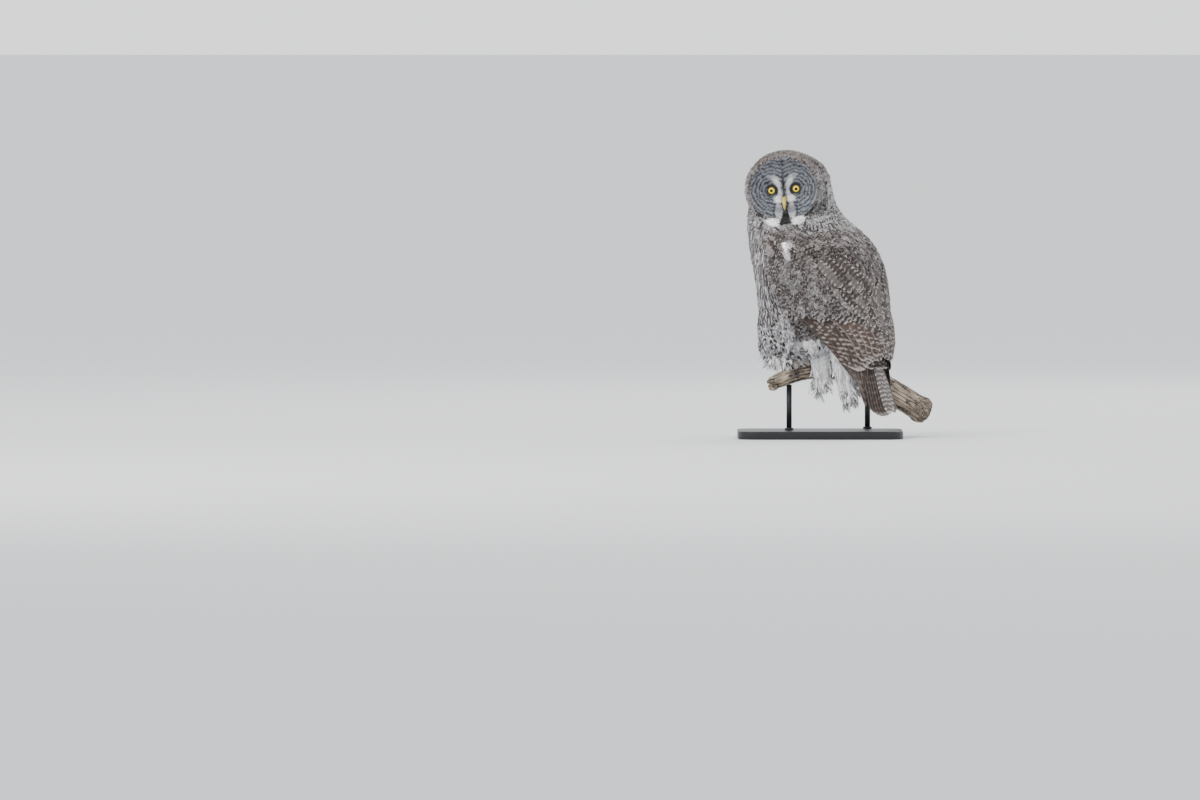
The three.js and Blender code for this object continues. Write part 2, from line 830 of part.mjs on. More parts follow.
// A number that looks random and is the same on each run
function seeded(seed) {
  let state = seed;
  return () => {
    state = (state + 0x6d2b79f5) | 0;
    let t = Math.imul(state ^ (state >>> 15), 1 | state);
    t = (t + Math.imul(t ^ (t >>> 7), 61 | t)) ^ t;
    return ((t ^ (t >>> 14)) >>> 0) / 4294967296;
  };
}

// Locks that hang from the belly: the vent's fluff, the coverts under the tail, the fringe
function lock(top, tip, radius) {
  const points = [0, 0.5, 0.85, 1].map((t) => top.clone().lerp(tip, t));
  points[1].x += radius * 0.15;
  return solid(tube(points, [1, 0.9, 0.5, 0.08].map((share) => share * radius), 6));
}

function hangingLocks() {
  const random = seeded(11);
  const apart = () => random() - 0.5;
  const locks = [];
  for (const group of LOCKS) {
    for (let i = 0; i < group.count; i++) {
      const top = new THREE.Vector3(...group.top);
      const tip = new THREE.Vector3(...group.tip);
      const turn = (2 * PI * i) / group.count;
      top.add(new THREE.Vector3(cos(turn), sin(turn), 0).multiplyScalar(group.spread));
      tip.add(new THREE.Vector3(cos(turn), sin(turn), 0).multiplyScalar(group.spread * 0.8));
      tip.z += (i ? 14 : 0) + 24 * abs(apart());
      locks.push(lock(top, tip, group.radius));
    }
  }
  for (let i = 0; i < FRINGE.count; i++) {
    const angle = -85 + (170 * i) / (FRINGE.count - 1);
    const top = onOutline(BODY, angle, 188).lerp(new THREE.Vector3(31, 0, 188), 0.14);
    const tip = onOutline(BODY, angle + 8 * apart(), 176).lerp(new THREE.Vector3(31, 0, 176), 0.1);
    tip.z = FRINGE.tip + 8 * apart();
    locks.push(lock(top, tip, FRINGE.radius));
  }
  return join(locks);
}

// Whole forms, then the cuts that part them
const bodyWhole = solid(bodyGeometry());
const headSockets = join([1, -1].map((side) => solid(eyeBall(side, EYE.radius + GAP, 14))));
const headOpenings = join([1, -1].map((side) => solid(eyeOpening(side))));
const headLids = join([1, -1].map((side) => solid(eyeBall(side, EYE.lid, 14))));
const billRoom = join([solid(billGeometry(GAP)), solid(lowerBillGeometry(GAP))]);
const place = (body) => body.transform([...headPlace.elements]);
const headWhole = place(
  solid(headGeometry()).add(headLids).subtract(headSockets).subtract(headOpenings).subtract(billRoom),
);
const figure = bodyWhole.add(headWhole).subtract(place(headSockets)).subtract(place(headOpenings));

function leaning({ level, lean }, shift) {
  const normal = [-sin(lean * RAD), 0, cos(lean * RAD)];
  return { normal, offset: level * normal[2] + HEAD.at[0] * normal[0] + shift };
}

function above(body, cut, shift) {
  const { normal, offset } = leaning(cut, shift);
  return body.trimByPlane(normal, offset);
}

function below(body, cut, shift) {
  const { normal, offset } = leaning(cut, shift);
  return body.trimByPlane(normal.map((v) => -v), -offset);
}

const half = GAP / 2;
const wings = { left: 1, right: -1 };
const wingRooms = join(Object.values(wings).map(wingRoom));
const head = above(figure, NECK_TOP, half);
const neck = above(below(figure, NECK_TOP, -half), NECK_FOOT, half).subtract(wingRooms);
const legRooms = join(
  Object.values(wings).flatMap((side) => [
    solid(legGeometry(side, GAP)),
    footSolid(side, GAP),
    ...TOES.map((toe) => solid(moved(clawGeometry(footFrame(side), toe, GAP), toBird))),
  ]),
);
const locks = hangingLocks();
const tailRooms = solid(tailRoomGeometry());
const torso = below(figure, NECK_FOOT, -half)
  .add(locks)
  .subtract(wingRooms)
  .subtract(tailRooms)
  .subtract(legRooms)
  .subtract(branchRoom);
const tail = tailSolid().subtract(solid(bodyGeometry(GAP))).subtract(wingRooms);

const bird = new THREE.Group();
bird.name = "bird";
bird.rotation.z = HEADING * RAD;
bird.add(mesh("head", head, "face"), mesh("neck", neck, "plumage"));
bird.add(mesh("torso", torso, "plumage"), mesh("tail", tail, "tail"));
const nostrils = join([1, -1].map((side) => solid(ball([53.5, side * 5.4, -19.5], [2, 1.3, 1.2], 8))));
bird.add(mesh("bill_upper", place(solid(billGeometry()).subtract(nostrils)), "bill"));
bird.add(
  mesh("bill_lower", place(solid(lowerBillGeometry()).subtract(solid(billGeometry(GAP)))), "bill"),
);

for (const [name, side] of Object.entries(wings)) {
  bird.add(mesh(`eye_${name}`, place(solid(eyeBall(side, EYE.radius, 14))), "eye"));
  bird.add(mesh(`wing_${name}`, wingSolid(side), "wing"));
  const frame = footFrame(side);
  const legRoom = solid(legGeometry(side, GAP));
  const claws = TOES.map((toe) => solid(moved(clawGeometry(frame, toe), toBird)));
  const clawRooms = join(TOES.map((toe) => solid(moved(clawGeometry(frame, toe, GAP), toBird))));
  const foot = footSolid(side).subtract(legRoom).subtract(clawRooms).subtract(branchRoom);
  const leg = solid(legGeometry(side)).subtract(branchRoom);
  bird.add(mesh(`leg_${name}`, leg, "foot"), mesh(`foot_${name}`, foot, "foot"));
  claws.forEach((claw, i) => {
    bird.add(mesh(`claw_${name}_${i + 1}`, claw.subtract(branchRoom), "claw"));
  });
}

// Stand: a flat base with rounded corners and two short rods up to the branch
function baseGeometry() {
  const { length, width, height, corner, edge } = BASE;
  const [x, y] = [length / 2 - edge, width / 2 - edge];
  const shape = new THREE.Shape();
  shape.moveTo(x - corner, -y);
  shape.absarc(x - corner, -y + corner, corner, -PI / 2, 0);
  shape.absarc(x - corner, y - corner, corner, 0, PI / 2);
  shape.absarc(-x + corner, y - corner, corner, PI / 2, PI);
  shape.absarc(-x + corner, -y + corner, corner, PI, (3 * PI) / 2);
  const geometry = new THREE.ExtrudeGeometry(shape, {
    depth: height - 2 * edge,
    bevelThickness: edge,
    bevelSize: edge,
    bevelSegments: 1,
    curveSegments: 4,
  });
  return geometry.translate(0, 0, edge);
}

function rodSolid(x) {
  const { at } = branchFrame(branchShare(x));
  const foot = BASE.height + GAP;
  const rod = new THREE.CylinderGeometry(RODS.radius, RODS.radius, at.z - foot, 20);
  rod.rotateX(PI / 2).translate(at.x, at.y, (at.z + foot) / 2);
  return solid(rod).subtract(solid(branchGeometry(GAP)));
}

const model = new THREE.Group();
model.name = "great_grey_owl";
model.add(bird);
model.add(mesh("perch_branch", branchBody, "branch"));
model.add(mesh("stand_base", solid(baseGeometry()), "stand"));
RODS.at.forEach((x, i) => model.add(mesh(`stand_rod_${i + 1}`, rodSolid(x), "stand")));

export default model;
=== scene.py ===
"""A life-size great grey owl on a cut length of branch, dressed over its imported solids."""

import logging
import math
from dataclasses import dataclass, field
from enum import Enum

import bmesh
import bpy
import numpy as np
from mathutils import Matrix, Vector
from mathutils.bvhtree import BVHTree
from mathutils.kdtree import KDTree


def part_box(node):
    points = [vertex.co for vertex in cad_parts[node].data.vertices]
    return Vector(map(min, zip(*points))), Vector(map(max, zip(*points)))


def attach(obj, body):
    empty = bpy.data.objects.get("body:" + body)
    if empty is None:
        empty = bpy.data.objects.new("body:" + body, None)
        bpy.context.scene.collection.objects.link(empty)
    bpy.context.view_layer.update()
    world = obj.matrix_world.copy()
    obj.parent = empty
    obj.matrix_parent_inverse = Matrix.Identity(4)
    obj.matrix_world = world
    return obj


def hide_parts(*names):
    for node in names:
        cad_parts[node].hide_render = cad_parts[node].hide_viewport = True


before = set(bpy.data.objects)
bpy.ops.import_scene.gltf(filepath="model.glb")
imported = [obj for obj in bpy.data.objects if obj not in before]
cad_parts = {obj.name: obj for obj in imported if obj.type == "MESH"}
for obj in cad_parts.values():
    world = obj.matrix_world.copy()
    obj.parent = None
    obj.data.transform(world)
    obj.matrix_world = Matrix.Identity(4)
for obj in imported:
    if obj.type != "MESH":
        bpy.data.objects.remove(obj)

LOG = logging.getLogger("owl")
MM = 0.001
HEADING = math.radians(147)
HEAD_AT = Vector((71.6, 16.0, 498.0))
HEAD_TURN, HEAD_TILT, HEAD_NOD = math.radians(117.5), math.radians(4.5), math.radians(3)

BIRD = Matrix.Rotation(HEADING, 4, "Z")
HEAD = (
    BIRD @ Matrix.Translation(HEAD_AT) @ Matrix.Rotation(HEAD_TURN, 4, "Z")
    @ Matrix.Rotation(HEAD_TILT, 4, "X") @ Matrix.Rotation(HEAD_NOD, 4, "Y")
)
BIRD_TURN = np.array(BIRD.to_3x3())
HEAD_ROTATION = np.array(HEAD.to_3x3())
HEAD_CENTRE = np.array(HEAD.translation)

# The folded wing's outer surface and its edges, as in the solids: height, middle, front,
# back, half width, squareness; then height, angle of the front edge, angle of the back edge
WING = np.array([
    [40, -118, 60, 38, 60, 2.6], [66, -114, 60, 45, 62, 2.6], [110, -95, 62, 62, 66, 2.6],
    [154, -58, 75, 92, 80, 2.6], [191, -25, 90, 130, 98, 2.6], [228, 0, 104, 148, 112, 2.6],
    [254, 10, 108, 147, 118, 2.6], [288, 18, 104, 149, 121, 2.6], [313, 22, 102, 149, 122, 2.6],
    [360, 32, 104, 146, 121, 2.6], [398, 42, 102, 126, 115, 2.4],
])
WING_EDGES = np.array([
    [66, 121, 131], [88, 118, 133], [108, 115, 138], [130, 108, 152], [146, 104, 166],
    [166, 101, 173], [191, 98, 174], [218, 95, 172], [262, 86, 157], [306, 80, 140],
    [352, 76, 122], [392, 80, 104],
])
BODY_MIDDLE = np.array([
    [163, 28], [189, 31], [222, 24], [252, 15], [288, 20], [313, 22], [360, 32], [386, 38],
    [411, 46], [436, 55], [461, 64], [496, 72], [574, 80],
])
DISC_HALF, DISC_TOP, DISC_BOTTOM = 65.0, 63.0, 59.0
EYE_APART, EYE_UP = 24.0, 1.0
RING_SPACING = 6.8  # between the face's rings
# In millimetres from the head's middle: how far forward eyes and bill are bare, how far forward
# the disc's feathers start and how far out they reach; then where disc and rim end, as shares
FACE_FRONT, FACE_DEPTH, FACE_REACH = 20.0, 30.0, 82.0
DISC_EDGE, RIM_EDGE = 0.965, 1.06
NAPE_ANGLE = 78.0
# The lore's and the lobe's ovals beside the bill, in head millimetres: middle, then half sizes
LORE, LOBE = ((12.5, -17.0), (10.5, 8.5)), ((13.0, -42.0), (9.5, 20.0))
MOST_TRIANGLES = 190000  # of one piece


@dataclass(frozen=True)
class Levels:
    """Heights in bird millimetres where the plumage changes, and the rump's place along the body."""

    back_low: float = 180.0
    fluff: float = 176.0
    fluff_behind: float = 212.0
    covert_low: float = 215.0
    belly: float = 262.0
    neck: float = 392.0
    nape: float = 424.0
    face_low: float = 430.0
    crown: float = 436.0
    rump: float = -92.0


LEVELS = Levels()


class Side(Enum):
    """The bird's own left or right."""

    LEFT = 1
    RIGHT = -1


class Zone(Enum):
    """Where on the body a feather grows."""

    DISC = 0
    RIM = 1
    CROWN = 2
    NECK = 3
    BREAST = 4
    BELLY = 5
    BACK = 6
    COVERT = 7
    FLUFF = 8
    TOE = 9


FACE_ZONES = (Zone.DISC.value, Zone.RIM.value)
BACK_ZONES = (Zone.BACK.value, Zone.COVERT.value)


def srgb(red: float, green: float, blue: float) -> np.ndarray:
    """A linear colour from 0 to 255 display values."""
    value = np.array([red, green, blue]) / 255
    return np.where(value < 0.04045, value / 12.92, ((value + 0.055) / 1.055) ** 2.4)


def smooth(low: float, high: float, value: np.ndarray) -> np.ndarray:
    """A smooth step from 0 at low to 1 at high."""
    t = np.clip((value - low) / (high - low), 0, 1)
    return t * t * (3 - 2 * t)


def mix(a: np.ndarray, b: np.ndarray, share: np.ndarray) -> np.ndarray:
    """A blend of two colours by a share a point."""
    return a + (b - a) * np.asarray(share)[..., None]


def wobble(points: np.ndarray, size: float, seed: float = 0.0) -> np.ndarray:
    """A cheap smooth noise.

    Args:
        points: points in millimetres.
        size: the size of its waves there.
        seed: a shift that makes another noise of it.

    Returns:
        A value between -1 and 1 a point.
    """
    p = points / size
    x, y, z = p[..., 0], p[..., 1], p[..., 2]
    return (
        np.sin(1.7 * x + 2.3 * y + seed) + np.sin(2.9 * y - 1.3 * z + 2 * seed)
        + np.sin(3.1 * z + 1.9 * x - seed) + np.sin(5.3 * x - 4.1 * y + 3.7 * z + seed)
    ) / 4


def to_head(points: np.ndarray) -> np.ndarray:
    """World points in metres as millimetres from the head's middle, the face along X."""
    return (points - HEAD_CENTRE * MM) @ HEAD_ROTATION * 1000


def to_bird(points: np.ndarray) -> np.ndarray:
    """World points in metres as millimetres in the bird's frame."""
    return points @ BIRD_TURN * 1000


def unit(vectors: np.ndarray) -> np.ndarray:
    """The vectors at length one."""
    return vectors / np.maximum(np.linalg.norm(vectors, axis=-1, keepdims=True), 1e-9)


def disc_share(head: np.ndarray) -> np.ndarray:
    """How far out on the face's disc a head point lies, 1 at its rim."""
    tall = np.where(head[..., 2] > 0, DISC_TOP, DISC_BOTTOM)
    return np.hypot(head[..., 1] / DISC_HALF, head[..., 2] / tall)


def from_eye(head: np.ndarray) -> np.ndarray:
    """How far a head point is from the nearer eye's axis."""
    return np.hypot(np.abs(head[..., 1]) - EYE_APART, head[..., 2] - EYE_UP)


def body_middle(level: np.ndarray) -> np.ndarray:
    """Where along the bird the body's middle is at a height."""
    return np.interp(level, BODY_MIDDLE[:, 0], BODY_MIDDLE[:, 1])


def body_angle(bird: np.ndarray) -> np.ndarray:
    """The angle of a bird point round the body's middle, in degrees from the breast."""
    return np.degrees(np.arctan2(np.abs(bird[..., 1]), bird[..., 0] - body_middle(bird[..., 2])))


def wing_edges(level: np.ndarray) -> tuple[np.ndarray, np.ndarray]:
    """The angles of the folded wing's front and back edge at a height."""
    return tuple(np.interp(level, WING_EDGES[:, 0], WING_EDGES[:, column]) for column in (1, 2))


def oval(
    y: np.ndarray, z: np.ndarray, middle: tuple[float, float], half: tuple[float, float],
) -> np.ndarray:
    """How far a place is from an oval's middle, 1 on the oval."""
    return np.hypot((y - middle[0]) / half[0], (z - middle[1]) / half[1])


def wing_share(bird: np.ndarray) -> np.ndarray:
    """How far a bird point lies from the wing's front edge, 0, to its back edge, 1."""
    front, back = wing_edges(bird[..., 2])
    return (body_angle(bird) - front) / (back - front)


def zone_of(points: np.ndarray) -> np.ndarray:
    """Which zone's feathers grow where.

    Args:
        points: world points on the body, in metres.

    Returns:
        The zone number of each point.
    """
    head, bird = to_head(points), to_bird(points)
    disc, across, angle = disc_share(head), wing_share(bird), body_angle(bird)
    ahead, level = bird[..., 0], bird[..., 2]
    soft, ragged = 13 * wobble(bird, 13, 6), 10 * wobble(bird, 22, 4)
    upper = level > LEVELS.neck
    loose = (level < LEVELS.fluff + soft) | ((level < LEVELS.fluff_behind + soft) & (ahead < -8))
    off_middle = np.linalg.norm(head[..., 1:], axis=-1)
    near = (head[..., 0] > FACE_DEPTH) & (off_middle < FACE_REACH) & (level > LEVELS.face_low)
    nape = upper & (angle > NAPE_ANGLE + ragged) & (level < LEVELS.nape + ragged)
    zone = np.full(level.shape, Zone.BREAST.value)
    for kind, where in (
        (Zone.BELLY, level < LEVELS.belly + 14 * wobble(bird, 15, 2)),
        (Zone.COVERT, (across > 0) & (level < LEVELS.neck) & (level > LEVELS.covert_low)),
        (Zone.BACK, (across > 1) & (level > LEVELS.back_low)),
        (Zone.FLUFF, loose & (ahead > LEVELS.rump)),
        (Zone.BACK, (level < LEVELS.covert_low) & (ahead < LEVELS.rump)),
        (Zone.NECK, upper),
        (Zone.BACK, nape),
        (Zone.CROWN, (level > LEVELS.crown + 1.4 * ragged) & ~nape),
        (Zone.RIM, near & (disc < RIM_EDGE)),
        (Zone.DISC, near & (disc < DISC_EDGE)),
    ):
        zone[where] = kind.value
    return zone


def tone(red: float, green: float, blue: float) -> np.ndarray:
    """A dataclass's field with a colour from 0 to 255 display values as default."""
    return field(default_factory=lambda: srgb(red, green, blue))


@dataclass(frozen=True)
class Palette:
    """The bird's colours."""

    ring_dark: np.ndarray = tone(53, 55, 62)
    ring_pale: np.ndarray = tone(151, 155, 162)
    white: np.ndarray = tone(255, 255, 255)
    black: np.ndarray = tone(24, 21, 21)
    rim: np.ndarray = tone(72, 60, 56)
    crown: np.ndarray = tone(116, 104, 100)
    neck: np.ndarray = tone(180, 179, 180)
    breast: np.ndarray = tone(201, 199, 202)
    belly: np.ndarray = tone(193, 192, 195)
    back: np.ndarray = tone(151, 143, 141)
    covert: np.ndarray = tone(146, 142, 142)
    fluff: np.ndarray = tone(250, 250, 250)
    brown: np.ndarray = tone(66, 53, 47)
    tail: np.ndarray = tone(56, 45, 39)
    lobe: np.ndarray = tone(140, 143, 149)
    speckle: np.ndarray = tone(142, 138, 137)
    pale_bar: np.ndarray = tone(170, 161, 154)
    pale_edge: np.ndarray = tone(184, 176, 170)


COLOURS = Palette()
ZONE_COLOURS = {
    Zone.RIM: COLOURS.rim, Zone.CROWN: COLOURS.crown, Zone.NECK: COLOURS.neck,
    Zone.BREAST: COLOURS.breast, Zone.BELLY: COLOURS.belly, Zone.BACK: COLOURS.back,
    Zone.COVERT: COLOURS.covert, Zone.FLUFF: COLOURS.fluff, Zone.TOE: COLOURS.belly,
}


def tie_share(head: np.ndarray) -> np.ndarray:
    """How far a head point is in the two white patches under the face."""
    across = np.abs(head[..., 1])
    reach = np.hypot((across - 25) / 17, (head[..., 2] + 60.5 - 0.12 * (across - 24)) / 8)
    return smooth(1.0, 0.75, reach) * (head[..., 0] > 15)


def chin_share(head: np.ndarray) -> np.ndarray:
    """Where the black chin is, between the two white patches.

    Args:
        head: points in millimetres in the head's frame.

    Returns:
        How far each point is in it, 0 to 1.
    """
    across = np.abs(head[..., 1])
    half = 5.5 + 0.32 * np.clip(-46 - head[..., 2], 0, 18)
    share = smooth(1.25, 0.85, across / half) * smooth(-41, -47, head[..., 2])
    return share * smooth(-71, -64, head[..., 2]) * (head[..., 0] > 15)


def tuft_share(bird: np.ndarray) -> np.ndarray:
    """Where the pale tuft stands on the left shoulder, at bird points."""
    x, y, z = bird[..., 0], bird[..., 1], bird[..., 2]
    reach = np.hypot((x - 4 - 0.37 * (z - 379)) / 7.5, (z - 379) / 17)
    return smooth(1.15, 0.7, reach) * (y > 60)


def crease_shade_share(bird: np.ndarray) -> np.ndarray:
    """Where painted shade darkens the gap between the two wings' shoulders.

    Args:
        bird: points in bird millimetres.

    Returns:
        How far each point is in it, 0 to 1.
    """
    top, low = np.array([-96.0, 52.0, 384.0]), np.array([-113.0, 28.0, 358.0])
    along = low - top
    share = np.clip(((bird - top) @ along) / (along @ along), 0, 1)
    off = np.linalg.norm(bird - top - share[..., None] * along, axis=-1)
    return smooth(6.0, 2.5, off) * smooth(0.0, 0.15, share + 0.1)


def face_colour(head: np.ndarray) -> np.ndarray:
    """The disc's rings, brows, lores and lobes at head points.

    Args:
        head: points in millimetres in the head's frame.

    Returns:
        One linear colour a point.
    """
    y, z = np.abs(head[..., 1]), head[..., 2]
    off_eye = np.hypot(y - EYE_APART, (z - EYE_UP) * 0.97)
    bend = 2.2 * wobble(head, 8, 1.0) + 1.7 * wobble(head, 3.6, 2.0)
    ring = np.sin((off_eye + bend) * 2 * math.pi / RING_SPACING)
    broken = 0.6 + 0.4 * wobble(head, 5.0, 9.0) + 0.3 * smooth(38, 14, off_eye)
    pale = mix(COLOURS.ring_pale, COLOURS.crown, smooth(42, 66, off_eye) * 0.2)
    colour = mix(COLOURS.ring_dark, pale, smooth(-0.75, 0.75, ring * broken) * 0.9)
    colour = mix(colour, COLOURS.ring_dark, smooth(22, 11, off_eye) * 0.35)
    fleck = 0.93 + 0.2 * wobble(head, 2.6, 4.0) + 0.12 * wobble(head, 6.5, 11.0)
    colour = colour * fleck[..., None]
    brow_middle, brow_width = 8.5 + 0.011 * (z + 3) ** 2, 3.2 + 0.16 * np.clip(z - 2, 0, 30)
    brow = smooth(1.6, 0.4, np.abs(y - brow_middle) / brow_width) * smooth(36, 18, z) * smooth(-14, -7, z)
    lore = smooth(1.15, 0.5, oval(y, z, *LORE))
    reach = oval(y, z, *LOBE)
    lobe = mix(COLOURS.lobe, COLOURS.white, smooth(-40, -58, z) + 0.45 * smooth(-35, -25, z))
    lobe_rim = smooth(0.3, 0.1, np.abs(reach - 1.08)) * smooth(-22, -30, z)
    line = smooth(3.6, 1.6, y + 0.9 * wobble(head, 5)) * smooth(-16, -8, z)
    crescent = smooth(14.0, 11.5, off_eye) * smooth(-4, 3, (z - EYE_UP) + 0.8 * (EYE_APART - y))
    for over, share in (
        (COLOURS.white, brow * 0.62), (COLOURS.white, lore * 0.8), (lobe, smooth(1.0, 0.6, reach) * 0.85),
        (COLOURS.black, lobe_rim * 0.5), (COLOURS.black, line * (0.85 - 0.45 * smooth(14, 45, z))),
        (COLOURS.black, crescent * 0.95), (COLOURS.black, smooth(10.6, 8.8, off_eye) * 0.85),
    ):
        colour = mix(colour, over, share)
    return colour


def ground_colour(points: np.ndarray, zone: np.ndarray) -> np.ndarray:
    """The plumage's own colour, with painted shade in the crease between the wings' shoulders.

    Args:
        points: world points in metres.
        zone: the zone number of each.

    Returns:
        One linear colour a point.
    """
    head, bird = to_head(points), to_bird(points)
    colour = np.zeros(points.shape)
    for kind, ground in ZONE_COLOURS.items():
        colour[zone == kind.value] = ground
    face, rim = zone == Zone.DISC.value, zone == Zone.RIM.value
    colour[face] = face_colour(head[face])
    hood = (zone == Zone.CROWN.value) | (zone == Zone.NECK.value)
    high = smooth(0, 55, head[..., 2] - 0.25 * head[..., 0] + 8 * wobble(head, 15))
    colour[hood] = mix(COLOURS.neck, COLOURS.crown, high)[hood]
    speckle = rim * smooth(-0.35, 0.5, wobble(head, 3.4, 5) + 0.35 * smooth(30, -30, head[..., 2]))
    under_disc = rim * smooth(-20, -38, head[..., 2])
    colour = mix(colour, COLOURS.speckle, speckle * (0.8 - 0.6 * under_disc))
    colour = mix(colour, COLOURS.black, under_disc * 0.6)
    clump = 0.13 * wobble(bird, 30, 3) + 0.10 * wobble(bird, 12, 7) + 0.12 * wobble(bird * [1, 1, 0.35], 9, 3)
    colour = colour * (1 + np.where(face, 0.05, 1.0) * clump)[..., None]
    for over, share in (
        # painted shade: black mixed into the crease between the wings' shoulders
        (COLOURS.black, crease_shade_share(bird) * 0.8),
        (COLOURS.white, np.maximum(tie_share(head), tuft_share(bird) * 0.9)),
        (COLOURS.black, chin_share(head)),
    ):
        colour = mix(colour, over, share)
    return np.clip(colour, 0, 1)


# Nodes of a material


class Graph:
    """A short way to write a material's or a group's nodes."""

    def __init__(self, tree: bpy.types.NodeTree) -> None:
        """Start on an empty tree."""
        self.tree = tree
        tree.nodes.clear()

    def node(self, kind: str, **settings: object) -> bpy.types.Node:
        """A new node with its settings.

        Args:
            kind: the node's type without its ShaderNode prefix.
            settings: attributes, or input values where the name starts with in_.

        Returns:
            The node.
        """
        made = self.tree.nodes.new(kind if kind.startswith("Node") else "ShaderNode" + kind)
        for name, value in settings.items():
            if name.startswith("in_"):
                key = name[3:]
                made.inputs[int(key) if key.isdigit() else key.replace("_", " ")].default_value = value
            else:
                setattr(made, name, value)
        return made

    def link(self, source: object, target: object) -> None:
        """Join an output to an input."""
        self.tree.links.new(source, target)

    def maths(self, operation: str, a: object, b: object = 0.0, c: object = 0.0) -> object:
        """Add a Math node.

        Args:
            operation: its operation.
            a: the first value or socket.
            b: the second one.
            c: the third one.

        Returns:
            Its output.
        """
        made = self.node("Math", operation=operation)
        for i, value in enumerate((a, b, c)):
            if isinstance(value, (int, float)):
                made.inputs[i].default_value = value
            else:
                self.link(value, made.inputs[i])
        return made.outputs[0]

    def ramp(self, value: object, low: float, high: float) -> object:
        """Add a smooth step.

        Args:
            value: the socket that it reads.
            low: where it is 0.
            high: where it is 1.

        Returns:
            Its output.
        """
        made = self.node("MapRange", interpolation_type="SMOOTHSTEP")
        made.inputs["From Min"].default_value = low
        made.inputs["From Max"].default_value = high
        self.link(value, made.inputs["Value"])
        return made.outputs[0]

    def blend(self, share: object, a: object, b: object) -> object:
        """Add a colour mix.

        Args:
            share: how much there is of the second colour, a value or a socket.
            a: the first colour or socket.
            b: the second one.

        Returns:
            Its output.
        """
        made = self.node("Mix", data_type="RGBA")
        for socket, value in ((0, share), (6, a), (7, b)):
            if hasattr(value, "links"):
                self.link(value, made.inputs[socket])
            elif socket == 0:
                made.inputs[0].default_value = value
            else:
                made.inputs[socket].default_value = (*value, 1.0)
        return made.outputs[2]


    def bump(self, shader: bpy.types.Node, height: object, strength: float, distance: float) -> None:
        """Raise a shader's surface by a height socket.

        Args:
            shader: the shader whose normal is bent.
            height: the socket with the height.
            strength: how much of the bump shows.
            distance: how high it stands, in metres.
        """
        made = self.node("Bump", in_Strength=strength, in_Distance=distance)
        self.link(height, made.inputs["Height"])
        self.link(made.outputs[0], shader.inputs["Normal"])

    def noise(self, vector: object, *stretch: float) -> object:
        """Add the shared noise group.

        Args:
            vector: the socket with the place.
            stretch: one scale, or a scale an axis.

        Returns:
            Its output.
        """
        made = self.node("Group")
        made.node_tree = grain_group()
        made.inputs[1].default_value = stretch if len(stretch) == 3 else stretch * 3
        self.link(vector, made.inputs[0])
        return made.outputs[0]

    def place(self) -> object:
        """The Object coordinates' socket."""
        return self.node("TexCoord").outputs["Object"]


def grain_group() -> bpy.types.NodeTree:
    """The shared noise group, which is built once.

    Returns:
        The group: smooth noise from a vector, stretched by a scale an axis.
    """
    if "grain" in bpy.data.node_groups:
        return bpy.data.node_groups["grain"]
    tree = bpy.data.node_groups.new("grain", "ShaderNodeTree")
    graph = Graph(tree)
    for socket, way, kind in (
        ("Vector", "INPUT", "Vector"), ("Stretch", "INPUT", "Vector"), ("Value", "OUTPUT", "Float"),
    ):
        tree.interface.new_socket(socket, in_out=way, socket_type="NodeSocket" + kind)
    start, end = graph.node("NodeGroupInput"), graph.node("NodeGroupOutput")
    scaled = graph.node("VectorMath", operation="MULTIPLY")
    graph.link(start.outputs[0], scaled.inputs[0])
    graph.link(start.outputs[1], scaled.inputs[1])
    noise = graph.node("TexNoise", in_Scale=1.0, in_Detail=3.0, in_Roughness=0.6)
    graph.link(scaled.outputs[0], noise.inputs["Vector"])
    graph.link(noise.outputs["Fac"], end.inputs[0])
    return tree


@dataclass(frozen=True)
class Finish:
    """A material: its name and its plain gloss values."""

    name: str
    roughness: float = 0.7
    coat: float = 0.0
    sheen: float = 0.0

    def start(self) -> tuple[bpy.types.Material, Graph, bpy.types.Node]:
        """Begin a material.

        Returns:
            The material, its nodes and its shader, which is joined to the output.
        """
        material = bpy.data.materials.new(self.name)
        material.use_nodes = True
        graph = Graph(material.node_tree)
        shader = graph.node("BsdfPrincipled", in_Roughness=self.roughness)
        shader.inputs["Coat Weight"].default_value = self.coat
        shader.inputs["Sheen Weight"].default_value = self.sheen
        shader.inputs["Specular IOR Level"].default_value = 0.25 if self.coat < 0.1 else 0.5
        out = graph.node("OutputMaterial")
        graph.link(shader.outputs[0], out.inputs[0])
        return material, graph, shader


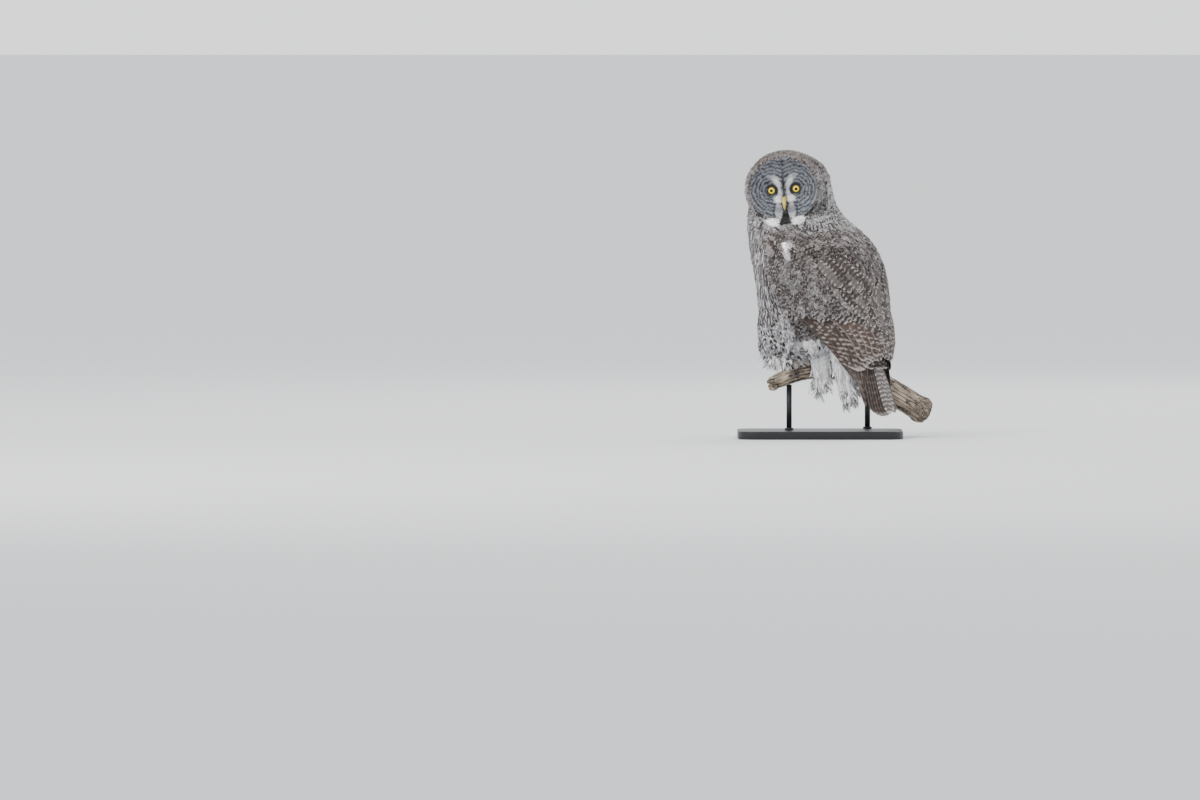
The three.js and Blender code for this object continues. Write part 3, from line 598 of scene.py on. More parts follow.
@dataclass(frozen=True)
class PlumeFinish(Finish):
    """Feather colour from the piece's own attributes and vane map."""

    bar_count: float = 3.0
    broken: float = 2.0
    dark: tuple[float, float, float] = (0.029, 0.021, 0.018)
    fine_scale: float = 420.0
    coarse_scale: float = 185.0
    ragged: float = 0.22
    streak_edge: tuple[float, float] = (0.33, 0.20)
    bar_edge: tuple[float, float] = (-0.8, -0.1)
    bar_slant: float = -4.0
    mottle_edge: tuple[float, float] = (0.43, 0.55)
    barb_count: float = 160.0
    barb_slant: float = -0.8
    barb_strength: float = 0.25
    barb_height: float = 0.0004

    def make(self) -> bpy.types.Material:
        """Bars, streaks and mottle by the vane map over the piece's own colours.

        Returns:
            The material of body feathers or of flight feathers.
        """
        material, graph, shader = self.start()
        ground = graph.node("Attribute", attribute_name="ground")
        marks = graph.node("Attribute", attribute_name="marks")
        part = graph.node("SeparateColor")
        graph.link(marks.outputs["Color"], part.inputs[0])
        vane = graph.node("UVMap", uv_map="vane")
        place = graph.node("SeparateXYZ")
        graph.link(vane.outputs[0], place.inputs[0])
        fine = graph.noise(graph.place(), self.fine_scale)
        coarse = graph.noise(graph.place(), self.coarse_scale)
        across = graph.maths("ABSOLUTE", graph.maths("SUBTRACT", place.outputs[0], 0.5))
        ragged = graph.maths("MULTIPLY", graph.maths("SUBTRACT", fine, 0.5), self.ragged)
        edge = graph.maths("ADD", across, ragged)
        streak = graph.maths("MULTIPLY", graph.ramp(edge, *self.streak_edge), part.outputs[0])
        turn = graph.maths("MULTIPLY", place.outputs[1], self.bar_count * 2 * math.pi)
        slant = graph.maths("ADD", across, graph.maths("MULTIPLY", ragged, 5))
        slant = graph.maths("MULTIPLY", slant, self.bar_slant)
        wave = graph.maths("SINE", graph.maths("ADD", turn, slant))
        off_bar = graph.maths("MULTIPLY", graph.maths("SUBTRACT", coarse, 0.5), self.broken)
        wave = graph.maths("ADD", wave, off_bar)
        bars = graph.maths("MULTIPLY", graph.ramp(wave, *self.bar_edge), part.outputs[1])
        mottle = graph.maths("MULTIPLY", graph.ramp(coarse, *self.mottle_edge), part.outputs[2])
        dark = graph.maths("MAXIMUM", streak, graph.maths("MAXIMUM", bars, mottle))
        colour = graph.blend(dark, ground.outputs["Color"], self.dark)
        graph.link(colour, shader.inputs["Base Color"])
        barb = graph.maths("ADD", place.outputs[1], graph.maths("MULTIPLY", across, self.barb_slant))
        barbs = graph.maths("SINE", graph.maths("MULTIPLY", barb, self.barb_count))
        graph.bump(shader, barbs, self.barb_strength, self.barb_height)
        return material


@dataclass(frozen=True)
class WoodFinish(Finish):
    """Weathered bare wood with patches of dark bark along it."""

    pale: np.ndarray = tone(204, 188, 166)
    worn: np.ndarray = tone(118, 98, 78)
    bark: np.ndarray = tone(44, 39, 37)
    dust: np.ndarray = tone(120, 110, 103)
    streak_scale: tuple[float, ...] = (5, 75, 1)
    patch_scale: tuple[float, ...] = (5, 13, 1)
    speck_scale: float = 300.0
    relief: float = 0.003

    def make(self) -> bpy.types.Material:
        """Streaked wood under patches of bark, both along the piece's own map.

        Returns:
            The branch's material.
        """
        material, graph, shader = self.start()
        along = graph.node("UVMap", uv_map="grain").outputs[0]
        streaks, patches = graph.noise(along, *self.streak_scale), graph.noise(along, *self.patch_scale)
        speck = graph.noise(graph.place(), self.speck_scale)
        mask = graph.ramp(graph.maths("ADD", patches, graph.maths("MULTIPLY", streaks, 0.35)), 0.62, 0.74)
        wood = graph.blend(graph.ramp(streaks, 0.35, 0.68), self.pale, self.worn)
        bark = graph.blend(graph.ramp(speck, 0.4, 0.62), self.bark, self.dust)
        graph.link(graph.blend(mask, wood, bark), shader.inputs["Base Color"])
        height = graph.maths("ADD", graph.maths("MULTIPLY", mask, 1.2), streaks)
        graph.bump(shader, height, 0.7, self.relief)
        return material


@dataclass(frozen=True)
class HornFinish(Finish):
    """Bill, claws, lids or painted stand: one tone that drifts to another with noise."""

    tone: tuple[float, float, float] = (0.5, 0.5, 0.5)
    other: tuple[float, float, float] = (0.4, 0.4, 0.4)
    grain: float = 150.0
    relief: float = 0.0006

    def make(self) -> bpy.types.Material:
        """One tone that drifts to the other, with a light bump.

        Returns:
            The material, which reads Object coordinates.
        """
        material, graph, shader = self.start()
        drift = graph.noise(graph.place(), self.grain)
        graph.link(graph.blend(graph.ramp(drift, 0.3, 0.7), self.tone, self.other), shader.inputs["Base Color"])
        graph.bump(shader, drift, 0.12, self.relief)
        return material


@dataclass(frozen=True)
class EyeFinish(Finish):
    """A yellow iris with a black pupil and a dark outer edge. Radii in millimetres."""

    iris: np.ndarray = tone(238, 222, 62)
    fleck: np.ndarray = tone(216, 190, 34)
    iris_edge: np.ndarray = tone(150, 122, 16)
    outer: np.ndarray = tone(14, 12, 12)
    pupil: np.ndarray = tone(2, 2, 3)
    fleck_scale: float = 700.0
    shade_radii: tuple[float, float] = (4.8, 6.8)
    iris_radii: tuple[float, float] = (6.5, 6.9)
    pupil_radii: tuple[float, float] = (3.2, 2.9)

    def make(self) -> bpy.types.Material:
        """Pupil, iris and outer edge by the distance from the eye's axis, kept in an attribute.

        Returns:
            The eye's material.
        """
        material, graph, shader = self.start()
        radius = graph.node("Attribute", attribute_name="off_axis").outputs["Fac"]
        fleck = graph.noise(graph.place(), self.fleck_scale)
        colour = graph.blend(graph.ramp(fleck, 0.3, 0.7), self.iris, self.fleck)
        for radii, over in (
            (self.shade_radii, self.iris_edge), (self.iris_radii, self.outer), (self.pupil_radii, self.pupil),
        ):
            colour = graph.blend(graph.ramp(radius, *radii), colour, over)
        graph.link(colour, shader.inputs["Base Color"])
        return material


# Meshes


def put(name: str, data: bpy.types.ID) -> bpy.types.Object:
    """An object of its data, in the scene."""
    made = bpy.data.objects.new(name, data)
    bpy.context.scene.collection.objects.link(made)
    return made


def piece(name: str, points: np.ndarray, faces: np.ndarray) -> bpy.types.Object:
    """A smooth-shaded object from arrays.

    Args:
        name: the piece's name.
        points: points in metres.
        faces: indices of quads or of triangles, a row a face.

    Returns:
        The object.
    """
    mesh = bpy.data.meshes.new(name)
    mesh.vertices.add(len(points))
    mesh.vertices.foreach_set("co", points.astype(np.float32).ravel())
    mesh.loops.add(faces.size)
    mesh.loops.foreach_set("vertex_index", faces.astype(np.int32).ravel())
    mesh.polygons.add(len(faces))
    mesh.polygons.foreach_set("loop_start", np.arange(0, faces.size, faces.shape[1], dtype=np.int32))
    mesh.update(calc_edges=True)
    mesh.shade_smooth()
    return put(name, mesh)


def from_bmesh(name: str, shape: bmesh.types.BMesh) -> bpy.types.Object:
    """A smooth-shaded object from a bmesh.

    Args:
        name: the object's name.
        shape: its shape, which is freed.

    Returns:
        The object, its normals outward.
    """
    bmesh.ops.recalc_face_normals(shape, faces=shape.faces)
    mesh = bpy.data.meshes.new(name)
    shape.to_mesh(mesh)
    shape.free()
    mesh.shade_smooth()
    return put(name, mesh)


def coords(made: bpy.types.Object) -> np.ndarray:
    """The object's points."""
    flat = np.empty(len(made.data.vertices) * 3, np.float32)
    made.data.vertices.foreach_get("co", flat)
    return flat.reshape(-1, 3).astype(float)


def set_colour(made: bpy.types.Object, name: str, values: np.ndarray) -> None:
    """Store a colour attribute.

    Args:
        made: the piece.
        name: the attribute's name.
        values: one linear colour a point.
    """
    layer = made.data.color_attributes.new(name, "FLOAT_COLOR", "POINT")
    rgba = np.ones((len(values), 4), np.float32)
    rgba[:, :3] = values
    layer.data.foreach_set("color", rgba.ravel())


def set_map(made: bpy.types.Object, name: str, values: np.ndarray) -> None:
    """Store a UV map.

    Args:
        made: the piece.
        name: the map's name.
        values: one place a point.
    """
    index = np.empty(len(made.data.loops), np.int32)
    made.data.loops.foreach_get("vertex_index", index)
    made.data.uv_layers.new(name=name).data.foreach_set("uv", values[index].astype(np.float32).ravel())


def paint(made: bpy.types.Object, ground: np.ndarray, marks: np.ndarray, *maps: np.ndarray) -> None:
    """Store what the plume finishes read, a row a point.

    Args:
        made: the piece.
        ground: its linear colours.
        marks: how strong its streaks, bars and mottle are.
        maps: the place on the vane and, where the piece bakes on a map of its own, on that map.
    """
    set_colour(made, "ground", ground)
    set_colour(made, "marks", marks)
    for name, values in zip(("vane", "OFBake"), maps):
        set_map(made, name, values)


def dress(made: bpy.types.Object, material: bpy.types.Material) -> bpy.types.Object:
    """Give a piece its material and its body.

    Args:
        made: the piece.
        material: its one material.

    Returns:
        The piece.
    """
    made.data.materials.clear()
    made.data.materials.append(material)
    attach(made, "root")
    LOG.info("piece %s: %d faces", made.name, len(made.data.polygons))
    return made


def from_nodes(*nodes: str) -> bmesh.types.BMesh:
    """Copy CAD nodes.

    Args:
        nodes: their names.

    Returns:
        Their shape as one, with its loose triangles joined up.
    """
    shape = bmesh.new()
    for node in nodes:
        shape.from_mesh(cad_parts[node].data)
    bmesh.ops.remove_doubles(shape, verts=shape.verts, dist=1e-6)
    return shape


def apply_modifiers(made: bpy.types.Object) -> None:
    """Turn the evaluated mesh into the object's own.

    Args:
        made: the object, whose modifiers go.
    """
    bpy.context.view_layer.update()
    baked = bpy.data.meshes.new_from_object(made.evaluated_get(bpy.context.evaluated_depsgraph_get()))
    made.modifiers.clear()
    made.data = baked


def rounded(name: str, *nodes: str) -> bpy.types.Object:
    """Copy CAD nodes and round them off with two levels of subdivision.

    Args:
        name: the new piece's name.
        nodes: the CAD nodes.

    Returns:
        The piece.
    """
    made = from_bmesh(name, from_nodes(*nodes))
    rounder = made.modifiers.new("round", "SUBSURF")
    rounder.levels = rounder.render_levels = 2
    apply_modifiers(made)
    made.data.shade_smooth()
    return made


def shade_flat_tops(made: bpy.types.Object, limit: float) -> None:
    """Shade a piece's faces smooth apart from the level ones, whose normal's height is over a limit."""
    for face in made.data.polygons:
        face.use_smooth = abs(face.normal.z) < limit


def nearest(surface: BVHTree, points: np.ndarray) -> tuple[np.ndarray, np.ndarray]:
    """A surface's nearest place to each point, and its normal there."""
    hits = [surface.find_nearest(Vector(point)) for point in points]
    return np.array([hit[0] for hit in hits]), np.array([hit[1] for hit in hits])


def vane_grid(across: np.ndarray, along: np.ndarray) -> tuple[np.ndarray, np.ndarray]:
    """The grid that every feather is made of.

    Args:
        across: the columns' places on the vane, 0 to 1.
        along: the rows' places, 0 at the root to 1 at the tip.

    Returns:
        The quads' indices and each point's place on the vane.
    """
    grid = np.arange(len(along) * len(across)).reshape(len(along), len(across))
    quads = np.stack([grid[:-1, :-1], grid[:-1, 1:], grid[1:, 1:], grid[1:, :-1]], -1)
    return quads.reshape(-1, 4), np.stack(np.meshgrid(across, along), -1).reshape(-1, 2)


def repeated(quads: np.ndarray, count: int, cells: int) -> np.ndarray:
    """The quads of several grids of points, one after another."""
    return (quads[None] + (np.arange(count) * cells)[:, None, None]).reshape(-1, 4)


@dataclass
class Skin:
    """The one surface under the coat, made from the solids of flesh. Sizes in metres."""

    voxel: float = 0.003
    depth: float = 0.0032
    swell: float = 0.0007
    wing_cut: float = 0.26
    tail_cut: float = 0.17
    face_share: float = 0.6
    # painted shade: how much the skin's colour is darkened under the fluff and under the other feathers, so the
    # gaps between feathers look shaded
    gap_shade: tuple[float, float] = (0.95, 0.7)
    surface: BVHTree | None = None
    body: bpy.types.Object | None = None

    def flesh(self, node: str, cut: float | None) -> bpy.types.Mesh:
        """One solid, swollen a little so that it joins its neighbours.

        Args:
            node: the CAD node.
            cut: the height below which it is cut off, or None.

        Returns:
            Its mesh.
        """
        part = from_nodes(node)
        if cut is not None:
            ends = bmesh.ops.bisect_plane(
                part, geom=part.verts[:] + part.edges[:] + part.faces[:],
                plane_co=(0, 0, cut), plane_no=(0, 0, 1), clear_inner=True,
            )
            rim = [e for e in ends["geom_cut"] if isinstance(e, bmesh.types.BMEdge)]
            bmesh.ops.triangle_fill(part, edges=rim, use_beauty=True)
        part.normal_update()
        for v in part.verts:
            v.co += v.normal * self.swell
        mesh = bpy.data.meshes.new("part")
        part.to_mesh(mesh)
        part.free()
        return mesh

    def close(self) -> bpy.types.Object:
        """Join the solids.

        Returns:
            One closed and softened skin.
        """
        shape = bmesh.new()
        cuts = {"wing_left": self.wing_cut, "wing_right": self.wing_cut, "tail": self.tail_cut}
        for node in ("head", "neck", "torso", "leg_left", "leg_right", *cuts):
            shape.from_mesh(self.flesh(node, cuts.get(node)))
        made = from_bmesh("skin", shape)
        remesh = made.modifiers.new("close", "REMESH")
        remesh.mode, remesh.voxel_size, remesh.use_smooth_shade = "VOXEL", self.voxel, True
        soft = made.modifiers.new("soft", "SMOOTH")
        soft.factor, soft.iterations = 0.5, 5
        apply_modifiers(made)
        return made

    def build(self) -> None:
        """Make the skin, keep its surface, sink it under the coat and colour it, darkened as painted shade
        between the feathers.
        """
        made = self.close()
        points = coords(made)
        normals = np.array([v.normal for v in made.data.vertices])
        self.surface = BVHTree.FromObject(made, bpy.context.evaluated_depsgraph_get())
        head, zone = to_head(points), zone_of(points)
        face = smooth(9, 14, from_eye(head)) * 0.55 + 0.05
        sink = self.depth * np.where(head[:, 0] > FACE_FRONT, face, 1.0)
        sink = np.where(np.isin(zone, FACE_ZONES), sink * self.face_share, sink)
        moved = points - normals * sink[:, None]
        made.data.vertices.foreach_set("co", moved.astype(np.float32).ravel())
        # painted shade: the skin showing between the feathers is darkened
        gap_shade = np.where(zone == Zone.FLUFF.value, *self.gap_shade)
        ground = ground_colour(points, zone) * gap_shade[:, None]
        paint(made, ground, np.zeros(points.shape), np.full((len(points), 2), 0.5))
        self.body = made


@dataclass(frozen=True)
class Coat:
    """How the feathers of one zone grow, in millimetres."""

    zone: Zone
    spacing: float
    length: float
    width: float
    lift: float
    marks: tuple[float, float, float]
    rows: tuple[float, ...] = (0.0, 0.3, 0.6, 0.85, 1.0)
    ragged: float = 0.12
    jitter: float = 0.12


COATS = (
    Coat(Zone.DISC, 2.3, 8.0, 3.0, 0.9, (0, 0, 0.0), ragged=0.18, jitter=0.16),
    Coat(Zone.RIM, 2.7, 8.5, 3.8, 1.2, (0, 0, 0.2), ragged=0.15),
    Coat(Zone.CROWN, 4.6, 15, 8.0, 1.3, (0.3, 0.95, 0.7), ragged=0.16, jitter=0.2),
    Coat(Zone.NECK, 6.6, 24, 11.5, 2.0, (1.0, 0.6, 0.45), ragged=0.16, jitter=0.18),
    Coat(Zone.BREAST, 6.9, 31, 11.5, 2.2, (1.3, 0.5, 0.6), ragged=0.16, jitter=0.14),
    Coat(Zone.BELLY, 7.6, 30, 14, 2.2, (0.2, 0.95, 0.4), ragged=0.2, jitter=0.2),
    Coat(Zone.BACK, 7.2, 28, 14.5, 2.0, (0.75, 1.15, 0.5), ragged=0.17, jitter=0.28),
    Coat(Zone.COVERT, 7.2, 27, 14.5, 2.0, (0.65, 1.15, 0.5), ragged=0.17, jitter=0.28),
    Coat(Zone.FLUFF, 3.5, 30, 4.8, 1.5, (0.0, 0.28, 0.12), ragged=0.24, jitter=0.2),
)
TOE_COAT = Coat(Zone.TOE, 2.4, 7, 2.8, 0.5, (0.0, 0.3, 0.4), ragged=0.2, jitter=0.2)
LOOSE = (Zone.FLUFF, Zone.BELLY, Zone.COVERT)


@dataclass
class Plumage:
    """Small feathers over the whole skin, laid as joined meshes."""

    skin: Skin
    seed: int = 7
    columns: tuple[float, ...] = (-1.0, -0.66, -0.33, 0.0, 0.33, 0.66, 1.0)
    profile: tuple[tuple[float, ...], ...] = ((0, 0.3, 0.6, 0.85, 1.0), (0.4, 0.85, 1.0, 0.85, 0.42))
    eye_bare: float = 8.6
    bill_half: float = 4.0
    bill_levels: tuple[float, float] = (-40.0, -22.0)
    wing_cover: float = 0.03
    wing_low: float = 250.0
    wing_hides: float = 24.0
    facing: float = 0.45
    down: tuple[float, ...] = (-0.18, 0.0, -1.0)
    down_breast: tuple[float, ...] = (0.1, 0.0, -1.0)
    down_back: tuple[float, ...] = (-0.55, 0.0, -1.0)
    down_toe: tuple[float, ...] = (1.0, 0.0, -0.5)
    breast_ahead: float = 60.0
    root_depth: float = 1.4
    camber: float = 0.12
    vane_patch: float = 0.003
    made: list[bpy.types.Object] = field(default_factory=list)

    def candidates(self, rng: np.random.Generator) -> np.ndarray:
        """Spread points over the skin's surface, more of them on the face.

        Args:
            rng: the random numbers.

        Returns:
            World points.
        """
        mesh = self.skin.body.data
        mesh.calc_loop_triangles()
        index = np.empty(len(mesh.loop_triangles) * 3, np.int32)
        mesh.loop_triangles.foreach_get("vertices", index)
        corner = coords(self.skin.body)[index.reshape(-1, 3)]
        dense = np.nonzero(np.isin(zone_of(corner.mean(1)), FACE_ZONES))[0]
        pick = np.concatenate([np.arange(len(corner)), np.repeat(dense, 4)])
        share = rng.dirichlet((1, 1, 1), len(pick))
        return (corner[pick] * share[:, :, None]).sum(1)

    def flow(self, roots: np.ndarray, normals: np.ndarray, zone: np.ndarray) -> np.ndarray:
        """The way the feathers lie.

        Args:
            roots: world points on the skin.
            normals: the skin's normals there.
            zone: the zone number of each root.

        Returns:
            A direction along the skin for each root.
        """
        head, bird = to_head(roots), to_bird(roots)
        down = np.tile(self.down, (len(roots), 1))
        down[bird[:, 0] > self.breast_ahead] = self.down_breast
        down[np.isin(zone, BACK_ZONES)] = self.down_back
        down[:, 1] = -np.sign(bird[:, 1]) * 0.05
        lie = down @ BIRD_TURN.T
        lie[zone == Zone.TOE.value] = np.array(self.down_toe) @ BIRD_TURN.T
        crown = zone == Zone.CROWN.value
        away = np.zeros((len(roots), 3))
        away[:, 0] = -1.0
        away[:, 1:] = head[:, 1:] / 120
        away[:, 2] -= 0.25 + 0.4 * smooth(0, -60, head[:, 2])
        lie[crown] = (away @ HEAD_ROTATION.T)[crown]
        face = np.isin(zone, FACE_ZONES)
        side = np.where(head[:, 1] > 0, 1.0, -1.0)
        out = np.stack([np.zeros(len(roots)), head[:, 1] - side * (EYE_APART - 8), head[:, 2] + 6], 1)
        lie[face] = (unit(out) @ HEAD_ROTATION.T)[face]
        lie -= normals * (lie * normals).sum(1, keepdims=True)
        return unit(lie)

    def thin(self, spots: np.ndarray, spacing: float, rng: np.random.Generator) -> np.ndarray:
        """Keep spots that lie apart, chosen in a random order.

        Args:
            spots: world points.
            spacing: the least distance between two that are kept, in metres.
            rng: the random numbers.

        Returns:
            The kept points.
        """
        tree = KDTree(len(spots))
        for i, spot in enumerate(spots):
            tree.insert(spot, i)
        tree.balance()
        free = np.ones(len(spots), bool)
        kept = []
        for i in rng.permutation(len(spots)):
            if free[i]:
                kept.append(i)
                for _, j, _ in tree.find_range(spots[i], spacing):
                    free[j] = False
        return spots[np.array(kept)]

    def open_ground(self, coat: Coat, roots: np.ndarray, normals: np.ndarray) -> np.ndarray:
        """Which roots keep their feather: none on eyes and bill, or hidden under a folded wing.

        Args:
            coat: the zone's coat.
            roots: world points on the skin.
            normals: the skin's normals there.

        Returns:
            True for each root that stays.
        """
        head, bird = to_head(roots), to_bird(roots)
        low, high = self.bill_levels
        bare = (np.abs(head[:, 1]) < self.bill_half) & (head[:, 2] < high) & (head[:, 2] > low)
        clear = ~((bare | (from_eye(head) < self.eye_bare)) & (head[:, 0] > FACE_FRONT))
        if coat.zone in (Zone.BELLY, Zone.FLUFF):
            across = wing_share(bird)
            under = np.abs(bird[:, 1]) > np.interp(bird[:, 2], WING[:, 0], WING[:, 4]) - self.wing_hides
            inside = (across > self.wing_cover) & (across < 1 - self.wing_cover)
            clear &= ~(inside & (bird[:, 2] < self.wing_low) & under)
        if coat.zone.value in BACK_ZONES:
            radial = np.stack([bird[:, 0] - body_middle(bird[:, 2]), bird[:, 1], np.zeros(len(bird))], 1)
            clear &= (unit(radial) @ BIRD_TURN.T * normals).sum(1) > self.facing
        return clear

    def spines(
        self, coat: Coat, roots: np.ndarray, normals: np.ndarray, shaft: np.ndarray,
    ) -> tuple[np.ndarray, np.ndarray]:
        """Where the feathers' rows lie: along the skin, or straight on where a loose feather leaves it.

        Args:
            coat: the zone's coat.
            roots: world points on the skin.
            normals: the skin's normals there.
            shaft: the way and the length of each feather.

        Returns:
            A point and an outward normal for each row of each feather.
        """
        spine = roots[:, None] + shaft[:, None] * np.array(coat.rows)[None, :, None]
        base, up = (found.reshape(spine.shape) for found in nearest(self.skin.surface, spine.reshape(-1, 3)))
        stray = np.linalg.norm(base - spine, axis=2, keepdims=True)
        hang = np.clip((stray - 3 * MM) / (4 * MM), 0, 1) * (1.0 if coat.zone in LOOSE else 0.0)
        return base * (1 - hang) + spine * hang, unit(up * (1 - hang) + normals[:, None] * hang)

    def vanes(
        self, coat: Coat, base: np.ndarray, up: np.ndarray, lie: np.ndarray, size: np.ndarray,
        rng: np.random.Generator,
    ) -> np.ndarray:
        """The feathers' points: rising off the skin, cambered, with ragged tips.

        Args:
            coat: the zone's coat.
            base: a point for each row of each feather.
            up: the outward normal there.
            lie: the way each feather lies.
            size: how large each feather is beside its coat's measures.
            rng: the random numbers.

        Returns:
            World points by feather, row and column.
        """
        rows, columns = np.array(coat.rows), np.array(self.columns)
        length, width = coat.length * size * MM, (coat.width * size * MM)[:, None, None, None]
        height = ((-self.root_depth + (self.root_depth + coat.lift) * rows ** 0.8) * MM)[None, :, None]
        extra = rng.uniform(0.5, 1.6, len(base))[:, None, None]
        base = base + up * (height * np.where(height > 0, extra, 1))
        across = unit(np.cross(up, lie[:, None]))
        profile = np.interp(rows, *self.profile)
        shift = across[:, :, None] * (columns[None, None, :, None] * profile[None, :, None, None] * width / 2)
        camber = up[:, :, None] * (-(columns ** 2) * self.camber)[None, None, :, None] * width
        torn = rng.uniform(-1, 1, (len(base), len(rows), len(columns))) * (rows > 0.8)[None, :, None]
        torn = torn * coat.ragged - (columns ** 2)[None, None, :] * 0.10 * (rows > 0.9)[None, :, None]
        tips = lie[:, None, None] * (torn * length[:, None, None])[..., None]
        return base[:, :, None] + shift + camber + tips

    def colours(
        self, coat: Coat, middles: np.ndarray, points: np.ndarray, rng: np.random.Generator,
    ) -> tuple[np.ndarray, np.ndarray]:
        """The feathers' own colours, with painted shade in the crease between the wings' shoulders, and how
        strongly each is marked.

        Args:
            coat: the zone's coat.
            middles: a world point on each feather, from which it takes one colour.
            points: all the feathers' points.
            rng: the random numbers.

        Returns:
            Colours and marks, a row a point.
        """
        count, cells = len(middles), len(points) // len(middles)
        tone_of = rng.normal(1.0, 0.05 if coat.zone is Zone.FLUFF else 0.15, count)
        if coat.zone in (Zone.DISC, Zone.CROWN, Zone.NECK):
            ground = ground_colour(points, np.full(len(points), coat.zone.value))
        else:
            ground = ground_colour(middles, np.full(count, coat.zone.value)) * tone_of[:, None]
            ground = np.repeat(ground, cells, 0)
        head, bird = to_head(points), to_bird(points)
        # painted shade: black mixed into the crease between the wings' shoulders
        ground = mix(ground, COLOURS.black, crease_shade_share(bird) * 0.9)
        marks = np.clip(np.array(coat.marks) * rng.uniform(0.45, 1.25, (count, 1)), 0, 1)
        bare = 1 - np.clip(tie_share(head) + chin_share(head) + tuft_share(bird), 0, 1)
        return ground, np.repeat(marks, cells, 0) * bare[:, None]

    def lay(self, coat: Coat, spots: np.ndarray, rng: np.random.Generator) -> None:
        """Grow feathers on a coat's spots, in pieces of a sound size.

        Args:
            coat: the zone's coat.
            spots: world points on the skin or near it.
            rng: the random numbers.
        """
        spots = self.thin(spots, coat.spacing * MM, rng)
        roots, normals = nearest(self.skin.surface, spots)
        clear = self.open_ground(coat, roots, normals)
        roots, normals = roots[clear], normals[clear]
        lie = self.flow(roots, normals, np.full(len(roots), coat.zone.value))
        turn = rng.normal(0, coat.jitter, len(roots))
        lie = unit(lie + np.cross(normals, lie) * turn[:, None])
        size = rng.uniform(0.82, 1.18, len(roots))
        if coat.zone.value in FACE_ZONES:
            size *= 0.55 + 0.45 * smooth(6, 26, from_eye(to_head(roots)))
        shaft = lie * (coat.length * size * MM)[:, None]
        base, up = self.spines(coat, roots, normals, shaft)
        points = self.vanes(coat, base, up, lie, size, rng).reshape(-1, 3)
        ground, marks = self.colours(coat, roots + shaft * 0.7, points, rng)
        quads, vane = vane_grid((np.array(self.columns) + 1) / 2, np.array(coat.rows))
        cells, limit = len(vane), MOST_TRIANGLES // (2 * len(quads))
        parts = np.array_split(np.argsort(roots[:, 0], kind="stable"), max(1, math.ceil(len(roots) / limit)))
        for number, chosen in enumerate(parts, 1):
            pick = (chosen[:, None] * cells + np.arange(cells)).ravel()
            name = f"feathers_{coat.zone.name.lower()}_{number}"
            made = piece(name, points[pick], repeated(quads, len(chosen), cells))
            place = np.tile(vane, (len(chosen), 1))
            patch = np.repeat(unwrap(roots[chosen]), cells, 0) + (place - 0.5) * self.vane_patch
            paint(made, ground[pick], marks[pick], place, patch)
            self.made.append(made)

    def build(self, material: bpy.types.Material) -> None:
        """Grow every zone's feathers and dress them.

        Args:
            material: the feathers' material.
        """
        rng = np.random.default_rng(self.seed)
        spots = self.candidates(rng)
        zone = zone_of(spots)
        for coat in COATS:
            self.lay(coat, spots[zone == coat.zone.value], rng)
        for made in self.made:
            dress(made, material)


def unwrap(roots: np.ndarray) -> np.ndarray:
    """Places on an unwrap of the body: round it by angle, along it by height.

    Args:
        roots: world points on the body.

    Returns:
        A place between 0 and 1 for each.
    """
    bird = to_bird(roots)
    round_body = np.arctan2(bird[:, 1], bird[:, 0] - body_middle(bird[:, 2]))
    place = np.stack([round_body, bird[:, 2]], 1)
    low, high = place.min(0), place.max(0)
    return 0.01 + 0.98 * (place - low) / np.maximum(high - low, 1e-6)


# Flight feathers


def wing_surface(angle: np.ndarray, level: np.ndarray) -> np.ndarray:
    """A point of the left wing's folded surface.

    Args:
        angle: degrees round the body from the breast.
        level: its height in bird millimetres.

    Returns:
        The point in bird millimetres.
    """
    middle, front, back, half, square = (np.interp(level, WING[:, 0], WING[:, k]) for k in range(1, 6))
    c, s = np.cos(np.radians(angle)), np.sin(np.radians(angle))
    power = np.where(c > 0, 1.0, 2 / square)
    x = middle + np.sign(c) * np.where(c > 0, front, back) * np.abs(c) ** power
    return np.stack([x, np.sign(s) * half * np.abs(s) ** power, level], -1)


def wing_point(side: Side, angle: np.ndarray, level: np.ndarray, out: np.ndarray) -> np.ndarray:
    """A point over either wing's folded surface.

    Args:
        side: which wing.
        angle: degrees round the body from the breast.
        level: its height in bird millimetres.
        out: how far out of the surface it lies, in millimetres.

    Returns:
        The point in bird millimetres.
    """
    turned = wing_surface(angle + 2, level) - wing_surface(angle - 2, level)
    raised = wing_surface(angle, level + 6) - wing_surface(angle, level - 6)
    point = wing_surface(angle, level) + unit(np.cross(turned, raised)) * np.asarray(out)[..., None]
    point[..., 1] *= side.value
    return point


@dataclass(frozen=True)
class Look:
    """How a long feather is marked: its tone, its pale bars and tip, and its dark flecks."""

    tone: np.ndarray
    bars: float
    tip: float
    side: float
    marks: tuple[float, float, float] = (0.0, 0.0, 0.2)


PRIMARY = Look(COLOURS.brown * 0.75, 0.25, 0.2, 0.22)
SECONDARY = Look(COLOURS.brown * 0.82, 0.85, 0.8, 0.15)
TERTIAL = Look(COLOURS.brown * 1.3, 1.0, 0.9, 0.45, (0.0, 0.0, 0.35))
ROW = Look(COLOURS.covert, 0.1, 0.9, 0.2, (0.5, 1.0, 0.6))
SCAPULAR = Look(srgb(162, 155, 151), 0.0, 0.6, 0.15, (0.9, 1.0, 0.75))
RECTRIX = Look(COLOURS.tail * 0.8, 0.16, 0.5, 0.1)
CENTRAL = Look(srgb(176, 169, 165), 0.0, 0.5, 0.2, (0.3, 0.85, 0.7))


@dataclass(frozen=True)
class Vane:
    """One long feather: where it starts and ends, its size, its layer and its look."""

    start: tuple[float, float]
    end: tuple[float, float]
    width: float
    height: float
    look: Look


